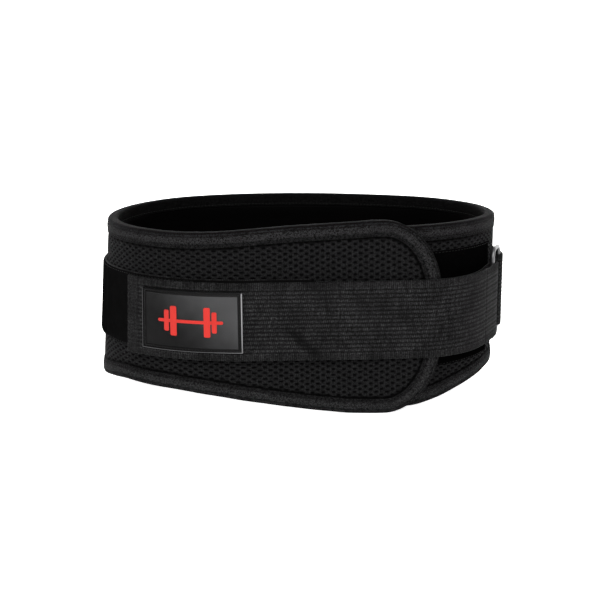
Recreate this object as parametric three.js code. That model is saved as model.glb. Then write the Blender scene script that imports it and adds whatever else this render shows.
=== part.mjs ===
// A wide training belt of padded neoprene, closed round an empty waist and standing on its lower edge.
// Millimetres, +Z up. The front of the belt faces -Y and the wearer's left is at +X.
// The origin is the middle of the belt's bounding box, on the surface that it stands on.

import * as THREE from 'three';

// Plan of the belt: an oval of four arcs, measured on the outer face of the mesh.
const HALF_WIDTH = 167;
const HALF_DEPTH = 118;
const END_RADIUS = 108;

// Heights are read from the middle of the pull strap, which lies this far above the floor.
const STRAP_LEVEL = 78.8;

// The belt's body: one long panel whose two ends overlap at the front.
const FLAP_END = 111.5;
const OVERLAP = 94;
const CORNER_LENGTH = 45;
const END_STRAIGHT = 34;
const FLARE_PIVOT = 62;
const CORNER_STEPS = 8;
const ARC_STEP = 10.4;
const FRONT_STEP = 16.1;
const SHORTEST_STEP = 2.5;

// Layers of the body, from the outer face inwards, and the tape that binds its edge.
const GAP = 0.3;
const SEAT_GAP = 0.4;
const MESH_THICKNESS = 1.8;
const CORE_THICKNESS = 5.6;
const TAPE_THICKNESS = 0.9;
const TAPE_PROUD = 0.5;
const TAPE_OUTER_WIDTH = 12.5;
const TAPE_INNER_WIDTH = 11;
const TAPE_ROUND = 2;
const CORE_EDGE_INSET = 1.6;
const CORE_EDGE_BEVEL = 1.5;
const MESH_EDGE_INSET = 2.9;
const SUNK_STEP_START = 0.7;
const SUNK_STEP_END = 1.9;

// Webbing, velvet, hooks, ring and label.
const BAND_WIDTH = 62.5;
const BAND_THICKNESS = 1.6;
const BAND_RISE = 2.4;
const BAND_CLIMB = 2.4;
const LOOP_WIDTH = 61;
const LOOP_THICKNESS = 1.2;
const PATCH_WIDTH = 96;
const PATCH_RISE = 2;
const HOOK_WIDTH = 50;
const HOOK_THICKNESS = 1;
const STRAP_WIDTH = 63.5;
const STRAP_THICKNESS = 1.8;
const STRAP_CLIMB = 1.1;
const WIRE_RADIUS = 1.7;
const RING_BAR_SPACING = 26;
const RING_OPENING = 73.2;
const RING_RISE = 5.6;
const RING_CORNER = 7.4;
const RING_STATION = 192;
const RING_STANDOFF = 6.5;
const LABEL_WIDTH = 81;
const LABEL_HEIGHT = 49;
const LABEL_THICKNESS = 1.1;
const LABEL_RIM = 0.5;
const LABEL_RIM_WIDTH = 3;
const LABEL_RIM_SLOPE = 0.6;
const MOTIF_THICKNESS = 0.4;

// Two diagonals whose lengths differ by less than this share count as equal.
const NEAR_EQUAL = 0.04;

// Places along the oval, in millimetres from the middle of the front, towards +X.
// A place beyond the middle of the back goes on counting, so the hidden end has a number of its own.
const BAND_START = 8;
const BAND_CLIMB_START = -320;
const BAND_CLIMB_END = -640;
const BAND_LEAVES = 12;
const BAND_TAIL_START = 46;
const BAND_TAIL = 64;
const LOOP_START = 10;
const LOOP_END = -300;
const PATCH_START = 46;
const PATCH_END = 188;
const HOOK_START = -20;
const HOOK_END = -138;
const STRAP_TIP = -144;
const STRAP_ANCHOR = 12;
const STRAP_LEAVES = 110;
const STRAP_FOLD_REACH = 6.2;
const LABEL_MIDDLE = -85.7;

// Upper and lower edge of the body, read from the strap's middle, from the flap round to the hidden end.
const EDGES = [
  { place: 112, top: 78.8, bottom: -78.8 },
  { place: 62, top: 78.8, bottom: -78.8 },
  { place: 42, top: 77.6, bottom: -78.5 },
  { place: 20, top: 76.4, bottom: -76.6 },
  { place: -10, top: 74.8, bottom: -72.8 },
  { place: -40, top: 72.7, bottom: -68 },
  { place: -75, top: 70.2, bottom: -62.6 },
  { place: -110, top: 69.1, bottom: -59.4 },
  { place: -150, top: 69.1, bottom: -58.9 },
  { place: -175, top: 69.2, bottom: -61.6 },
  { place: -200, top: 69.3, bottom: -65.5 },
  { place: -240, top: 69.6, bottom: -69 },
  { place: -300, top: 70.4, bottom: -70.5 },
  { place: -345, top: 71, bottom: -74 },
  { place: -385, top: 71.2, bottom: -78.8 },
  { place: -460, top: 70.8, bottom: -78.8 },
  { place: -534, top: 70, bottom: -78.8 },
  { place: -574, top: 69.8, bottom: -73 },
  { place: -620, top: 69.8, bottom: -64 },
  { place: -689, top: 70.2, bottom: -61.5 },
  { place: -725, top: 70.8, bottom: -61.8 },
  { place: -747, top: 71.2, bottom: -64 },
  { place: -773, top: 71.4, bottom: -68.2 },
  { place: -801, top: 71.4, bottom: -74.6 },
  { place: -824, top: 71.4, bottom: -78.2 },
  { place: -845, top: 71.4, bottom: -78.8 },
  { place: -901, top: 71.4, bottom: -78.8 },
];

// How far the outer face stands off the oval: the flat front of the flap, and the hidden end tucked inside.
// The flare is how much further out the wall leans over 100 mm of its height, going down.
const BODY_PLAN = [
  { place: 130, off: 12, flare: 0 },
  { place: 118, off: 11, flare: 0 },
  { place: 100, off: 8.5, flare: 0 },
  { place: 84, off: 4.5, flare: 0 },
  { place: 60, off: -0.5, flare: 0 },
  { place: 42, off: -3.7, flare: 0 },
  { place: 20, off: -6, flare: 0 },
  { place: 0, off: -6.2, flare: 0 },
  { place: -27, off: -4, flare: 0 },
  { place: -52, off: 0, flare: 0 },
  { place: -85, off: 2.2, flare: 1.2 },
  { place: -110, off: 1, flare: 3 },
  { place: -160, off: -0.1, flare: 6 },
  { place: -200, off: 0, flare: 7.2 },
  { place: -260, off: 0, flare: 7.2 },
  { place: -330, off: 0, flare: 4.5 },
  { place: -420, off: 0, flare: 0 },
  { place: -600, off: 0, flare: 0 },
  { place: -660, off: 1.4, flare: 0 },
  { place: -695, off: 1.4, flare: 0 },
  { place: -734, off: -1.5, flare: 0 },
  { place: -769, off: -4.5, flare: 0 },
  { place: -801, off: -7.5, flare: 0 },
  { place: -835, off: -10, flare: 0 },
  { place: -859, off: -13, flare: 0 },
  { place: -877, off: -15.5, flare: 0 },
  { place: -901, off: -17.5, flare: 0 },
  { place: -930, off: -17.5, flare: 0 },
];

// The middle of the strap's outer run where it leaves the flap and curves over to the ring.
// The rise is its share of the strap's climb to the ring.
const OUTER_RUN = [
  { place: 118, off: 14.9, rise: 0.1 },
  { place: 130, off: 15.2, rise: 0.3 },
  { place: 142, off: 14.2, rise: 0.5 },
  { place: 156, off: 11.9, rise: 0.8 },
  { place: 168, off: 10.1, rise: 1 },
];

// The middle of its inner run, from the ring back to the flap.
const INNER_RUN = [
  { place: 168, off: 4.8, rise: 1 },
  { place: 156, off: 7.9, rise: 0.8 },
  { place: 142, off: 11.1, rise: 0.5 },
  { place: 130, off: 12.7, rise: 0.3 },
  { place: 118, off: 12.5, rise: 0.1 },
];

// The band's upper layer, from the ring's rear bar down to the layer that lies on the body.
const BAND_RETURN = [
  { place: 214, off: 8.6 },
  { place: 222, off: 7.3 },
  { place: 232, off: 6 },
  { place: 242, off: 4.9 },
];

const FRONT_RADIUS = ((HALF_WIDTH - END_RADIUS) ** 2 + HALF_DEPTH ** 2 - END_RADIUS ** 2)
  / (2 * (HALF_DEPTH - END_RADIUS));
const FRONT_ANGLE = Math.atan2(HALF_WIDTH - END_RADIUS, FRONT_RADIUS - HALF_DEPTH);
const FRONT_ARC = FRONT_RADIUS * FRONT_ANGLE;
const END_ARC = END_RADIUS * (Math.PI - 2 * FRONT_ANGLE);
const PERIMETER = 4 * FRONT_ARC + 2 * END_ARC;
const HIDDEN_END = FLAP_END - OVERLAP - PERIMETER;

// The point of the oval at a place, moved outwards by off, in plan.
function ovalPoint(place, off) {
  const wrapped = place - PERIMETER * Math.round(place / PERIMETER);
  const side = Math.sign(wrapped) || 1;
  const along = Math.abs(wrapped);
  let centreX = 0;
  let centreY = FRONT_RADIUS - HALF_DEPTH;
  let radius = FRONT_RADIUS;
  let angle = along / FRONT_RADIUS;
  if (along > FRONT_ARC && along <= FRONT_ARC + END_ARC) {
    centreX = HALF_WIDTH - END_RADIUS;
    centreY = 0;
    radius = END_RADIUS;
    angle = FRONT_ANGLE + (along - FRONT_ARC) / END_RADIUS;
  } else if (along > FRONT_ARC + END_ARC) {
    centreY = HALF_DEPTH - FRONT_RADIUS;
    angle = Math.PI - FRONT_ANGLE + (along - FRONT_ARC - END_ARC) / FRONT_RADIUS;
  }
  const x = centreX + (radius + off) * Math.sin(angle);
  const y = centreY - (radius + off) * Math.cos(angle);
  return new THREE.Vector2(side * x, y);
}

// A smooth curve through one column of a table, with no overshoot between its rows.
function tableCurve(rows, column) {
  const sorted = [...rows].sort((a, b) => a.place - b.place);
  const slopes = sorted.map((row, i) => {
    if (i === 0 || i === sorted.length - 1) return 0;
    const before = sorted[i - 1];
    const after = sorted[i + 1];
    const left = (row[column] - before[column]) / (row.place - before.place);
    const right = (after[column] - row[column]) / (after.place - row.place);
    return left * right <= 0 ? 0 : (2 * left * right) / (left + right);
  });
  return (place) => {
    const last = sorted.length - 1;
    if (place <= sorted[0].place) return sorted[0][column];
    if (place >= sorted[last].place) return sorted[last][column];
    const i = sorted.findIndex((row) => row.place > place) - 1;
    const span = sorted[i + 1].place - sorted[i].place;
    const t = (place - sorted[i].place) / span;
    const blend = t * t * (3 - 2 * t);
    const leftPull = span * slopes[i] * t * (1 - t) ** 2;
    const rightPull = span * slopes[i + 1] * t * t * (t - 1);
    return sorted[i][column] * (1 - blend) + sorted[i + 1][column] * blend + leftPull + rightPull;
  };
}

const topEdge = tableCurve(EDGES, 'top');
const bottomEdge = tableCurve(EDGES, 'bottom');
const bodyOffset = tableCurve(BODY_PLAN, 'off');
const bodyFlare = tableCurve(BODY_PLAN, 'flare');

// A point off the body's outer face, in plan, at a height that is read from the strap's middle.
function onBody(place, off, height) {
  const lean = (bodyFlare(place) / 100) * (FLARE_PIVOT - height);
  return ovalPoint(place, bodyOffset(place) + lean + off);
}

// Places between two ends, on one grid that all the layers share, so that their facets lie parallel.
function stations(from, to) {
  const cuts = [];
  const stretches = [
    [-PERIMETER / 2, -FRONT_ARC - END_ARC, FRONT_STEP],
    [-FRONT_ARC - END_ARC, -FRONT_ARC, ARC_STEP],
    [-FRONT_ARC, FRONT_ARC, FRONT_STEP],
    [FRONT_ARC, FRONT_ARC + END_ARC, ARC_STEP],
    [FRONT_ARC + END_ARC, PERIMETER / 2, FRONT_STEP],
  ];
  for (const lap of [-1, 0]) {
    for (const [start, end, step] of stretches) {
      const count = Math.round((end - start) / step);
      for (let i = 0; i < count; i += 1) {
        cuts.push(lap * PERIMETER + start + ((end - start) * i) / count);
      }
    }
  }
  const low = Math.min(from, to);
  const high = Math.max(from, to);
  const inside = cuts.filter((place) => place > low + SHORTEST_STEP && place < high - SHORTEST_STEP);
  const all = [low, ...inside, high];
  return from < to ? all : all.reverse();
}

// The body's outline laid flat: upper edge from the flap's end to the hidden end, then the lower edge back.
// Each point has its place, its height and the direction inwards, square to the outline.
function bodyOutline() {
  const corner = (end, inwards, edge, side) => {
    const points = [];
    const middle = end + inwards * CORNER_LENGTH;
    const height = Math.abs(edge(middle)) - END_STRAIGHT / 2;
    for (let i = 0; i <= CORNER_STEPS; i += 1) {
      const angle = (Math.PI / 2) * (i / CORNER_STEPS);
      const outX = -inwards * Math.cos(angle) / CORNER_LENGTH;
      const outZ = side * Math.sin(angle) / height;
      const length = Math.hypot(outX, outZ);
      points.push({
        place: middle - inwards * CORNER_LENGTH * Math.cos(angle),
        height: edge(middle) - side * height * (1 - Math.sin(angle)),
        inPlace: -outX / length,
        inHeight: -outZ / length,
      });
    }
    return points;
  };
  const run = (edge, side) => {
    const start = FLAP_END - CORNER_LENGTH;
    const end = HIDDEN_END + CORNER_LENGTH;
    return stations(start, end).slice(1, -1).map((place) => {
      const slope = (edge(place + 1) - edge(place - 1)) / 2;
      const length = Math.hypot(slope, 1);
      return {
        place,
        height: edge(place),
        inPlace: (side * slope) / length,
        inHeight: -side / length,
      };
    });
  };
  const edgeRow = (edge, side) => [
    ...corner(FLAP_END, -1, edge, side),
    ...run(edge, side),
    ...corner(HIDDEN_END, 1, edge, side).reverse(),
  ];
  return { upper: edgeRow(topEdge, 1), lower: edgeRow(bottomEdge, -1) };
}

const OUTLINE = bodyOutline();

// A point at a distance inside the outline and at a depth from the outer face.
function atEdge(point, inset, off) {
  const place = point.place + point.inPlace * inset;
  const height = point.height + point.inHeight * inset;
  const plan = onBody(place, off, height);
  return new THREE.Vector3(plan.x, plan.y, STRAP_LEVEL + height);
}

// One closed mesh from its corner points and triangles, turned so that its faces point outwards.
function closedMesh(name, points, triangles, material) {
  let volume = 0;
  for (const [a, b, c] of triangles) {
    volume += points[a].dot(new THREE.Vector3().crossVectors(points[b], points[c]));
  }
  const index = triangles.flatMap(([a, b, c]) => (volume > 0 ? [a, b, c] : [a, c, b]));
  const geometry = new THREE.BufferGeometry().setFromPoints(points);
  geometry.setIndex(index);
  geometry.computeVertexNormals();
  const mesh = new THREE.Mesh(geometry, material);
  mesh.name = name;
  return mesh;
}

// Whether the upper of two points lies clockwise of the lower, seen from above.
function leansClockwise(first, second) {
  const [low, high] = first.z < second.z ? [first, second] : [second, first];
  return low.x * high.y - low.y * high.x < 0;
}

// Rings of equal length, joined one to the next. Each four-sided face is cut along its shorter diagonal.
// Where both are about as long, all layers are cut the same way, so that they stay parallel.
function ringStrips(rings, closed) {
  const points = rings.flat();
  const size = rings[0].length;
  const triangles = [];
  const last = closed ? rings.length : rings.length - 1;
  for (let r = 0; r < last; r += 1) {
    for (let i = 0; i < size; i += 1) {
      const j = (i + 1) % size;
      const a = r * size;
      const b = ((r + 1) % rings.length) * size;
      const rising = points[a + i].distanceTo(points[b + j]);
      const falling = points[a + j].distanceTo(points[b + i]);
      const alike = Math.abs(rising - falling) < NEAR_EQUAL * rising;
      if (alike ? leansClockwise(points[a + i], points[b + j]) : rising < falling) {
        triangles.push([a + i, a + j, b + j], [a + i, b + j, b + i]);
      } else {
        triangles.push([a + i, a + j, b + i], [a + j, b + j, b + i]);
      }
    }
  }
  return { points, triangles, size };
}

// Rings stacked from the outer face to the inner face, with the first and the last filled in.
function layeredSolid(name, rings, material) {
  const { points, triangles, size } = ringStrips(rings, false);
  const half = size / 2;
  const lastStart = (rings.length - 1) * size;
  for (let i = 0; i < half - 1; i += 1) {
    const across = size - 1 - i;
    triangles.push([i + 1, i, across], [i + 1, across, across - 1]);
    triangles.push(
      [lastStart + i, lastStart + i + 1, lastStart + across],
      [lastStart + i + 1, lastStart + across - 1, lastStart + across],
    );
  }
  return closedMesh(name, points, triangles, material);
}

function bodyLayer(name, profile, material) {
  const loop = [...OUTLINE.upper, ...[...OUTLINE.lower].reverse()];
  const rings = profile.map(({ inset, off }) => loop.map((point) => atEdge(point, inset, off)));
  return layeredSolid(name, rings, material);
}

// A section carried along a row of frames, open at both ends, with a cap on each.
function sweptSolid(name, sections, material) {
  const size = sections[0].length;
  const { points, triangles } = ringStrips(sections, false);
  const contour = (section) => {
    const origin = section[0];
    const across = new THREE.Vector3().subVectors(section[1], origin).normalize();
    const up = section
      .map((point) => new THREE.Vector3().subVectors(point, origin))
      .map((arm) => arm.addScaledVector(across, -arm.dot(across)))
      .find((arm) => arm.length() > TAPE_THICKNESS)
      .normalize();
    return section.map((point) => {
      const arm = new THREE.Vector3().subVectors(point, origin);
      return new THREE.Vector2(arm.dot(across), arm.dot(up));
    });
  };
  const cap = (sectionIndex, flip) => {
    const outline = contour(sections[sectionIndex]);
    const start = sectionIndex * size;
    const turned = (THREE.ShapeUtils.area(outline) > 0) === flip;
    for (const [a, b, c] of THREE.ShapeUtils.triangulateShape(outline, [])) {
      triangles.push(turned ? [start + a, start + b, start + c] : [start + a, start + c, start + b]);
    }
  };
  cap(0, false);
  cap(sections.length - 1, true);
  return closedMesh(name, points, triangles, material);
}

// The edge tape: a rounded U that takes the panel's edge between its two arms.
function tapeSection() {
  const outerFace = TAPE_PROUD;
  const innerFace = -(MESH_THICKNESS + GAP + CORE_THICKNESS) - TAPE_PROUD;
  const lining = TAPE_THICKNESS;
  const bend = TAPE_ROUND + TAPE_PROUD;
  return [
    { inset: TAPE_OUTER_WIDTH, off: outerFace },
    { inset: TAPE_ROUND, off: outerFace },
    { inset: 0, off: outerFace - bend },
    { inset: 0, off: innerFace + bend },
    { inset: TAPE_ROUND, off: innerFace },
    { inset: TAPE_INNER_WIDTH, off: innerFace },
    { inset: TAPE_INNER_WIDTH, off: innerFace + lining },
    { inset: TAPE_ROUND + lining / 2, off: innerFace + lining },
    { inset: lining, off: innerFace + bend + lining / 2 },
    { inset: lining, off: outerFace - bend - lining / 2 },
    { inset: TAPE_ROUND + lining / 2, off: outerFace - lining },
    { inset: TAPE_OUTER_WIDTH, off: outerFace - lining },
  ];
}

// Each tape runs round the two ends of the panel and stops halfway up them, under the strap.
function edgeTape(name, row, side, material) {
  const section = tapeSection();
  const stop = ({ place, inPlace }) => ({
    place,
    height: (side * GAP) / 2,
    inPlace: Math.sign(inPlace),
    inHeight: 0,
  });
  const path = [stop(row[0]), ...row, stop(row[row.length - 1])];
  const sections = path.map((point) => section.map(({ inset, off }) => atEdge(point, inset, off)));
  return sweptSolid(name, sections, material);
}

// A stop is one place on a strip's route: its plan at any height, and how far the strip is raised there.
function bodyStop(place, off, rise = 0) {
  return { plan: (height) => onBody(place, off, height), rise };
}

function freeStop(point, rise = 0) {
  return { plan: () => point, rise };
}

// A flat strip of webbing along a row of stops. It leans with the body that it lies on.
function ribbon(name, stops, thickness, low, high, material) {
  const sides = (height) => {
    const path = stops.map(({ plan, rise }) => plan(height + rise));
    return path.map((point, i) => {
      const before = path[Math.max(i - 1, 0)];
      const after = path[Math.min(i + 1, path.length - 1)];
      const along = new THREE.Vector2().subVectors(after, before).normalize();
      const side = new THREE.Vector2(along.y, -along.x).multiplyScalar(thickness / 2);
      const near = new THREE.Vector2().addVectors(point, side);
      const far = new THREE.Vector2().subVectors(point, side);
      const level = STRAP_LEVEL + height + stops[i].rise;
      return [new THREE.Vector3(near.x, near.y, level), new THREE.Vector3(far.x, far.y, level)];
    });
  };
  const lower = sides(low);
  const upper = sides(high);
  const sections = lower.map(([near, far], i) => [near, upper[i][0], upper[i][1], far]);
  return sweptSolid(name, sections, material);
}

// The ring's two upright bars, in plan, with the direction from front bar to rear bar and outwards.
function ringFrame() {
  const front = ovalPoint(RING_STATION - RING_BAR_SPACING / 2, RING_STANDOFF);
  const towards = ovalPoint(RING_STATION + RING_BAR_SPACING / 2, RING_STANDOFF);
  const along = new THREE.Vector2().subVectors(towards, front).normalize();
  const rear = front.clone().addScaledVector(along, RING_BAR_SPACING);
  const out = new THREE.Vector2(along.y, -along.x);
  return { front, rear, along, out };
}

const RING = ringFrame();

// Half a turn of webbing round a bar, from its outer side to its inner side, reaching towards the other bar.
function foldRound(bar, reach, thickness, towards) {
  const radius = WIRE_RADIUS + GAP + thickness / 2;
  const steps = 6;
  const points = [];
  for (let i = 0; i <= steps; i += 1) {
    const angle = (Math.PI * i) / steps;
    points.push(bar.clone()
      .addScaledVector(RING.out, radius * Math.cos(angle))
      .addScaledVector(RING.along, towards * (reach + radius * Math.sin(angle))));
  }
  return points;
}

function finish(name, color, roughness, metalness = 0) {
  return new THREE.MeshStandardMaterial({ name, color, roughness, metalness });
}

const MATERIALS = {
  neoprene: finish('neoprene', 0x0b0b0c, 0.75),
  mesh: finish('spacer mesh', 0x141414, 0.85),
  tape: finish('edge tape', 0x1d1d1e, 0.7),
  webbing: finish('ribbed webbing', 0x222223, 0.8),
  velvet: finish('velvet loop', 0x0a0a0a, 0.95),
  hook: finish('hook tape', 0x0c0c0c, 0.7),
  metal: finish('ring metal', 0x6f7072, 0.35, 1),
  label: finish('label rubber', 0x2a2a2b, 0.4),
  motif: finish('label print', 0xb3261e, 0.5),
};

// The inner face steps down beside the tape, so that the tape stands a little proud of it.
function corePanel() {
  const outer = -MESH_THICKNESS - GAP;
  const inner = outer - CORE_THICKNESS;
  const sunk = TAPE_THICKNESS - TAPE_PROUD + GAP;
  return bodyLayer('core_panel', [
    { inset: CORE_EDGE_INSET, off: outer },
    { inset: CORE_EDGE_INSET, off: inner + TAPE_ROUND + GAP },
    { inset: CORE_EDGE_INSET + CORE_EDGE_BEVEL, off: inner + sunk },
    { inset: TAPE_INNER_WIDTH + SUNK_STEP_START, off: inner + sunk },
    { inset: TAPE_INNER_WIDTH + SUNK_STEP_END, off: inner },
  ], MATERIALS.neoprene);
}

function meshFace() {
  const sunk = -(TAPE_THICKNESS - TAPE_PROUD + GAP);
  return bodyLayer('mesh_face', [
    { inset: TAPE_OUTER_WIDTH + SUNK_STEP_END, off: 0 },
    { inset: TAPE_OUTER_WIDTH + SUNK_STEP_START, off: sunk },
    { inset: MESH_EDGE_INSET, off: sunk },
    { inset: MESH_EDGE_INSET, off: -MESH_THICKNESS },
  ], MATERIALS.mesh);
}

// The band climbs a little on its way round the back, from the left side to the ring.
function bandClimb(place) {
  const share = (BAND_CLIMB_START - place) / (BAND_CLIMB_START - BAND_CLIMB_END);
  return BAND_CLIMB * Math.min(Math.max(share, 0), 1);
}

function waistBand() {
  const middle = SEAT_GAP + BAND_THICKNESS / 2;
  const tailMiddle = middle + BAND_THICKNESS + GAP;
  const rearBar = RING_STATION + RING_BAR_SPACING / 2 - PERIMETER;
  const fold = foldRound(RING.rear, 0, BAND_THICKNESS, -1).reverse();
  const stops = [
    ...stations(BAND_START, rearBar + BAND_LEAVES).map((place) => bodyStop(place, middle, bandClimb(place))),
    ...fold.map((point) => freeStop(point, BAND_CLIMB)),
    ...BAND_RETURN.map(({ place, off }) => freeStop(ovalPoint(place, off), BAND_CLIMB)),
    ...stations(rearBar + BAND_TAIL_START, rearBar + BAND_TAIL)
      .map((place) => bodyStop(place, tailMiddle, BAND_CLIMB)),
  ];
  const low = BAND_RISE - BAND_WIDTH / 2;
  return ribbon('waist_band', stops, BAND_THICKNESS, low, low + BAND_WIDTH, MATERIALS.webbing);
}

// Depth of each layer on the band, as the distance of its middle from the mesh.
const LOOP_MIDDLE = SEAT_GAP + BAND_THICKNESS + GAP + LOOP_THICKNESS / 2;
const HOOK_MIDDLE = LOOP_MIDDLE + LOOP_THICKNESS / 2 + GAP + HOOK_THICKNESS / 2;
const STRAP_MIDDLE = HOOK_MIDDLE + HOOK_THICKNESS / 2 + GAP + STRAP_THICKNESS / 2;
const STRAP_AT_FLAP_END = 4.2;
const ANCHOR_MIDDLE = TAPE_PROUD + 1.5 * GAP + STRAP_THICKNESS / 2;

const strapOffset = tableCurve([
  { place: 118, off: STRAP_AT_FLAP_END },
  { place: 84, off: STRAP_AT_FLAP_END },
  { place: 24, off: STRAP_MIDDLE },
  { place: -160, off: STRAP_MIDDLE },
], 'off');

function loopStrip() {
  const stops = stations(LOOP_START, LOOP_END).map((place) => bodyStop(place, LOOP_MIDDLE));
  const low = BAND_RISE - LOOP_WIDTH / 2;
  return ribbon('loop_strip', stops, LOOP_THICKNESS, low, low + LOOP_WIDTH, MATERIALS.velvet);
}

// The wider velvet patch on the outer face of the tucked end, between the flap and the ring.
function loopPatch() {
  const middle = SEAT_GAP + LOOP_THICKNESS / 2;
  const stops = stations(PATCH_START - PERIMETER, PATCH_END - PERIMETER)
    .map((place) => bodyStop(place, middle));
  const low = PATCH_RISE - PATCH_WIDTH / 2;
  return ribbon('loop_patch', stops, LOOP_THICKNESS, low, low + PATCH_WIDTH, MATERIALS.velvet);
}

function hookPatch() {
  const stops = stations(HOOK_START, HOOK_END).map((place) => bodyStop(place, HOOK_MIDDLE));
  return ribbon('hook_patch', stops, HOOK_THICKNESS, -HOOK_WIDTH / 2, HOOK_WIDTH / 2, MATERIALS.hook);
}

function pullStrap() {
  const radius = WIRE_RADIUS + GAP + STRAP_THICKNESS / 2;
  const raised = (point) => freeStop(point, STRAP_CLIMB);
  const barSide = (side) => raised(RING.front.clone().addScaledVector(RING.out, side * radius));
  const stops = [
    ...stations(STRAP_TIP, STRAP_LEAVES).map((place) => bodyStop(place, strapOffset(place))),
    ...OUTER_RUN.map(({ place, off, rise }) => freeStop(ovalPoint(place, off), rise * STRAP_CLIMB)),
    barSide(1),
    ...foldRound(RING.front, STRAP_FOLD_REACH, STRAP_THICKNESS, 1).map(raised),
    barSide(-1),
    ...INNER_RUN.map(({ place, off, rise }) => freeStop(ovalPoint(place, off), rise * STRAP_CLIMB)),
    ...stations(STRAP_LEAVES, STRAP_ANCHOR).map((place) => bodyStop(place, ANCHOR_MIDDLE)),
  ];
  return ribbon('pull_strap', stops, STRAP_THICKNESS, -STRAP_WIDTH / 2, STRAP_WIDTH / 2, MATERIALS.webbing);
}

function buckleRing() {
  const radius = RING_CORNER;
  const halfWidth = RING_BAR_SPACING / 2;
  const halfHeight = RING_OPENING / 2 + WIRE_RADIUS;
  const middle = RING.front.clone().addScaledVector(RING.along, halfWidth);
  const cornerSteps = 5;
  const wireSides = 8;
  const corners = [[1, 1], [-1, 1], [-1, -1], [1, -1]];
  const sections = [];
  corners.forEach(([right, up], k) => {
    for (let i = 0; i <= cornerSteps; i += 1) {
      const angle = (Math.PI / 2) * (k + i / cornerSteps);
      const along = right * (halfWidth - radius) + radius * Math.cos(angle);
      const height = up * (halfHeight - radius) + radius * Math.sin(angle);
      const section = [];
      for (let j = 0; j < wireSides; j += 1) {
        const turn = (2 * Math.PI * (j + 0.5)) / wireSides;
        const reach = WIRE_RADIUS * Math.cos(turn);
        const plan = middle.clone()
          .addScaledVector(RING.along, along + reach * Math.cos(angle))
          .addScaledVector(RING.out, WIRE_RADIUS * Math.sin(turn));
        const level = STRAP_LEVEL + RING_RISE + height + reach * Math.sin(angle);
        section.push(new THREE.Vector3(plan.x, plan.y, level));
      }
      sections.push(section);
    }
  });
  const { points, triangles } = ringStrips(sections, true);
  return closedMesh('buckle_ring', points, triangles, MATERIALS.metal);
}

// A plate bent to the strap's outer face: columns of places, each with a half height, and layers of depth.
function bentPlate(name, columns, layers, material) {
  const face = STRAP_THICKNESS / 2;
  const rings = layers.map(({ inset, off }) => {
    const first = columns[0].place;
    const last = columns[columns.length - 1].place;
    const scale = 1 - (2 * inset) / Math.abs(last - first);
    const place = (column) => first + Math.sign(last - first) * inset + (column.place - first) * scale;
    const corner = (column, side) => {
      const height = side * (column.half - inset);
      const plan = onBody(place(column), strapOffset(column.place) + face + off, height);
      return new THREE.Vector3(plan.x, plan.y, STRAP_LEVEL + height);
    };
    return [
      ...columns.map((column) => corner(column, 1)),
      ...[...columns].reverse().map((column) => corner(column, -1)),
    ];
  });
  return layeredSolid(name, rings, material);
}

function label() {
  const columns = stations(LABEL_MIDDLE + LABEL_WIDTH / 2, LABEL_MIDDLE - LABEL_WIDTH / 2)
    .map((place) => ({ place, half: LABEL_HEIGHT / 2 }));
  const field = GAP + LABEL_THICKNESS;
  return bentPlate('label', columns, [
    { inset: 0, off: GAP },
    { inset: 0, off: field + LABEL_RIM },
    { inset: LABEL_RIM_WIDTH, off: field + LABEL_RIM },
    { inset: LABEL_RIM_WIDTH + LABEL_RIM_SLOPE, off: field },
  ], MATERIALS.label);
}

// A barbell: a thin bar with two plates at each end.
function labelMotif() {
  const barHalf = 1.3;
  const plates = [
    { from: 11, to: 16, half: 12 },
    { from: 17.2, to: 21, half: 8.5 },
    { from: 22.2, to: 26, half: barHalf },
  ];
  const taper = 0.3;
  const halfColumns = [{ place: 0, half: barHalf }, { place: 5.5, half: barHalf }];
  for (const { from, to, half } of plates) {
    halfColumns.push({ place: from - taper, half: barHalf });
    halfColumns.push({ place: from, half });
    halfColumns.push({ place: to, half });
    halfColumns.push({ place: to + taper, half: barHalf });
  }
  const mirrored = halfColumns.slice(1).map(({ place, half }) => ({ place: -place, half }));
  const columns = [...halfColumns.reverse(), ...mirrored]
    .map(({ place, half }) => ({ place: LABEL_MIDDLE + place, half }));
  const base = GAP + LABEL_THICKNESS + GAP;
  return bentPlate('label_motif', columns, [
    { inset: 0, off: base },
    { inset: 0, off: base + MOTIF_THICKNESS },
  ], MATERIALS.motif);
}

const belt = new THREE.Group();
belt.add(
  corePanel(),
  meshFace(),
  edgeTape('upper_edge_tape', OUTLINE.upper, 1, MATERIALS.tape),
  edgeTape('lower_edge_tape', OUTLINE.lower, -1, MATERIALS.tape),
  waistBand(),
  loopStrip(),
  loopPatch(),
  hookPatch(),
  pullStrap(),
  buckleRing(),
  label(),
  labelMotif(),
);

const box = new THREE.Box3().setFromObject(belt);
belt.position.set(-(box.min.x + box.max.x) / 2, -(box.min.y + box.max.y) / 2, -box.min.z);

export default belt;
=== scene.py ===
"""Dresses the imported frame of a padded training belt: mesh, binding, webbing, velvet, ring and label.

The belt is closed round an empty waist and stands on its lower edge. Tables and constants are in
millimetres and repeat the frame's own plan. Blender's meshes are in metres, in the frame's axes.
A place is a distance along the belt's oval from the middle of the front, towards +X. It goes on
counting round the back, so the hidden end has a place of its own.
"""

import math

import bmesh
import bpy
import numpy as np
from mathutils import Matrix, Vector
from mathutils.kdtree import KDTree


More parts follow.
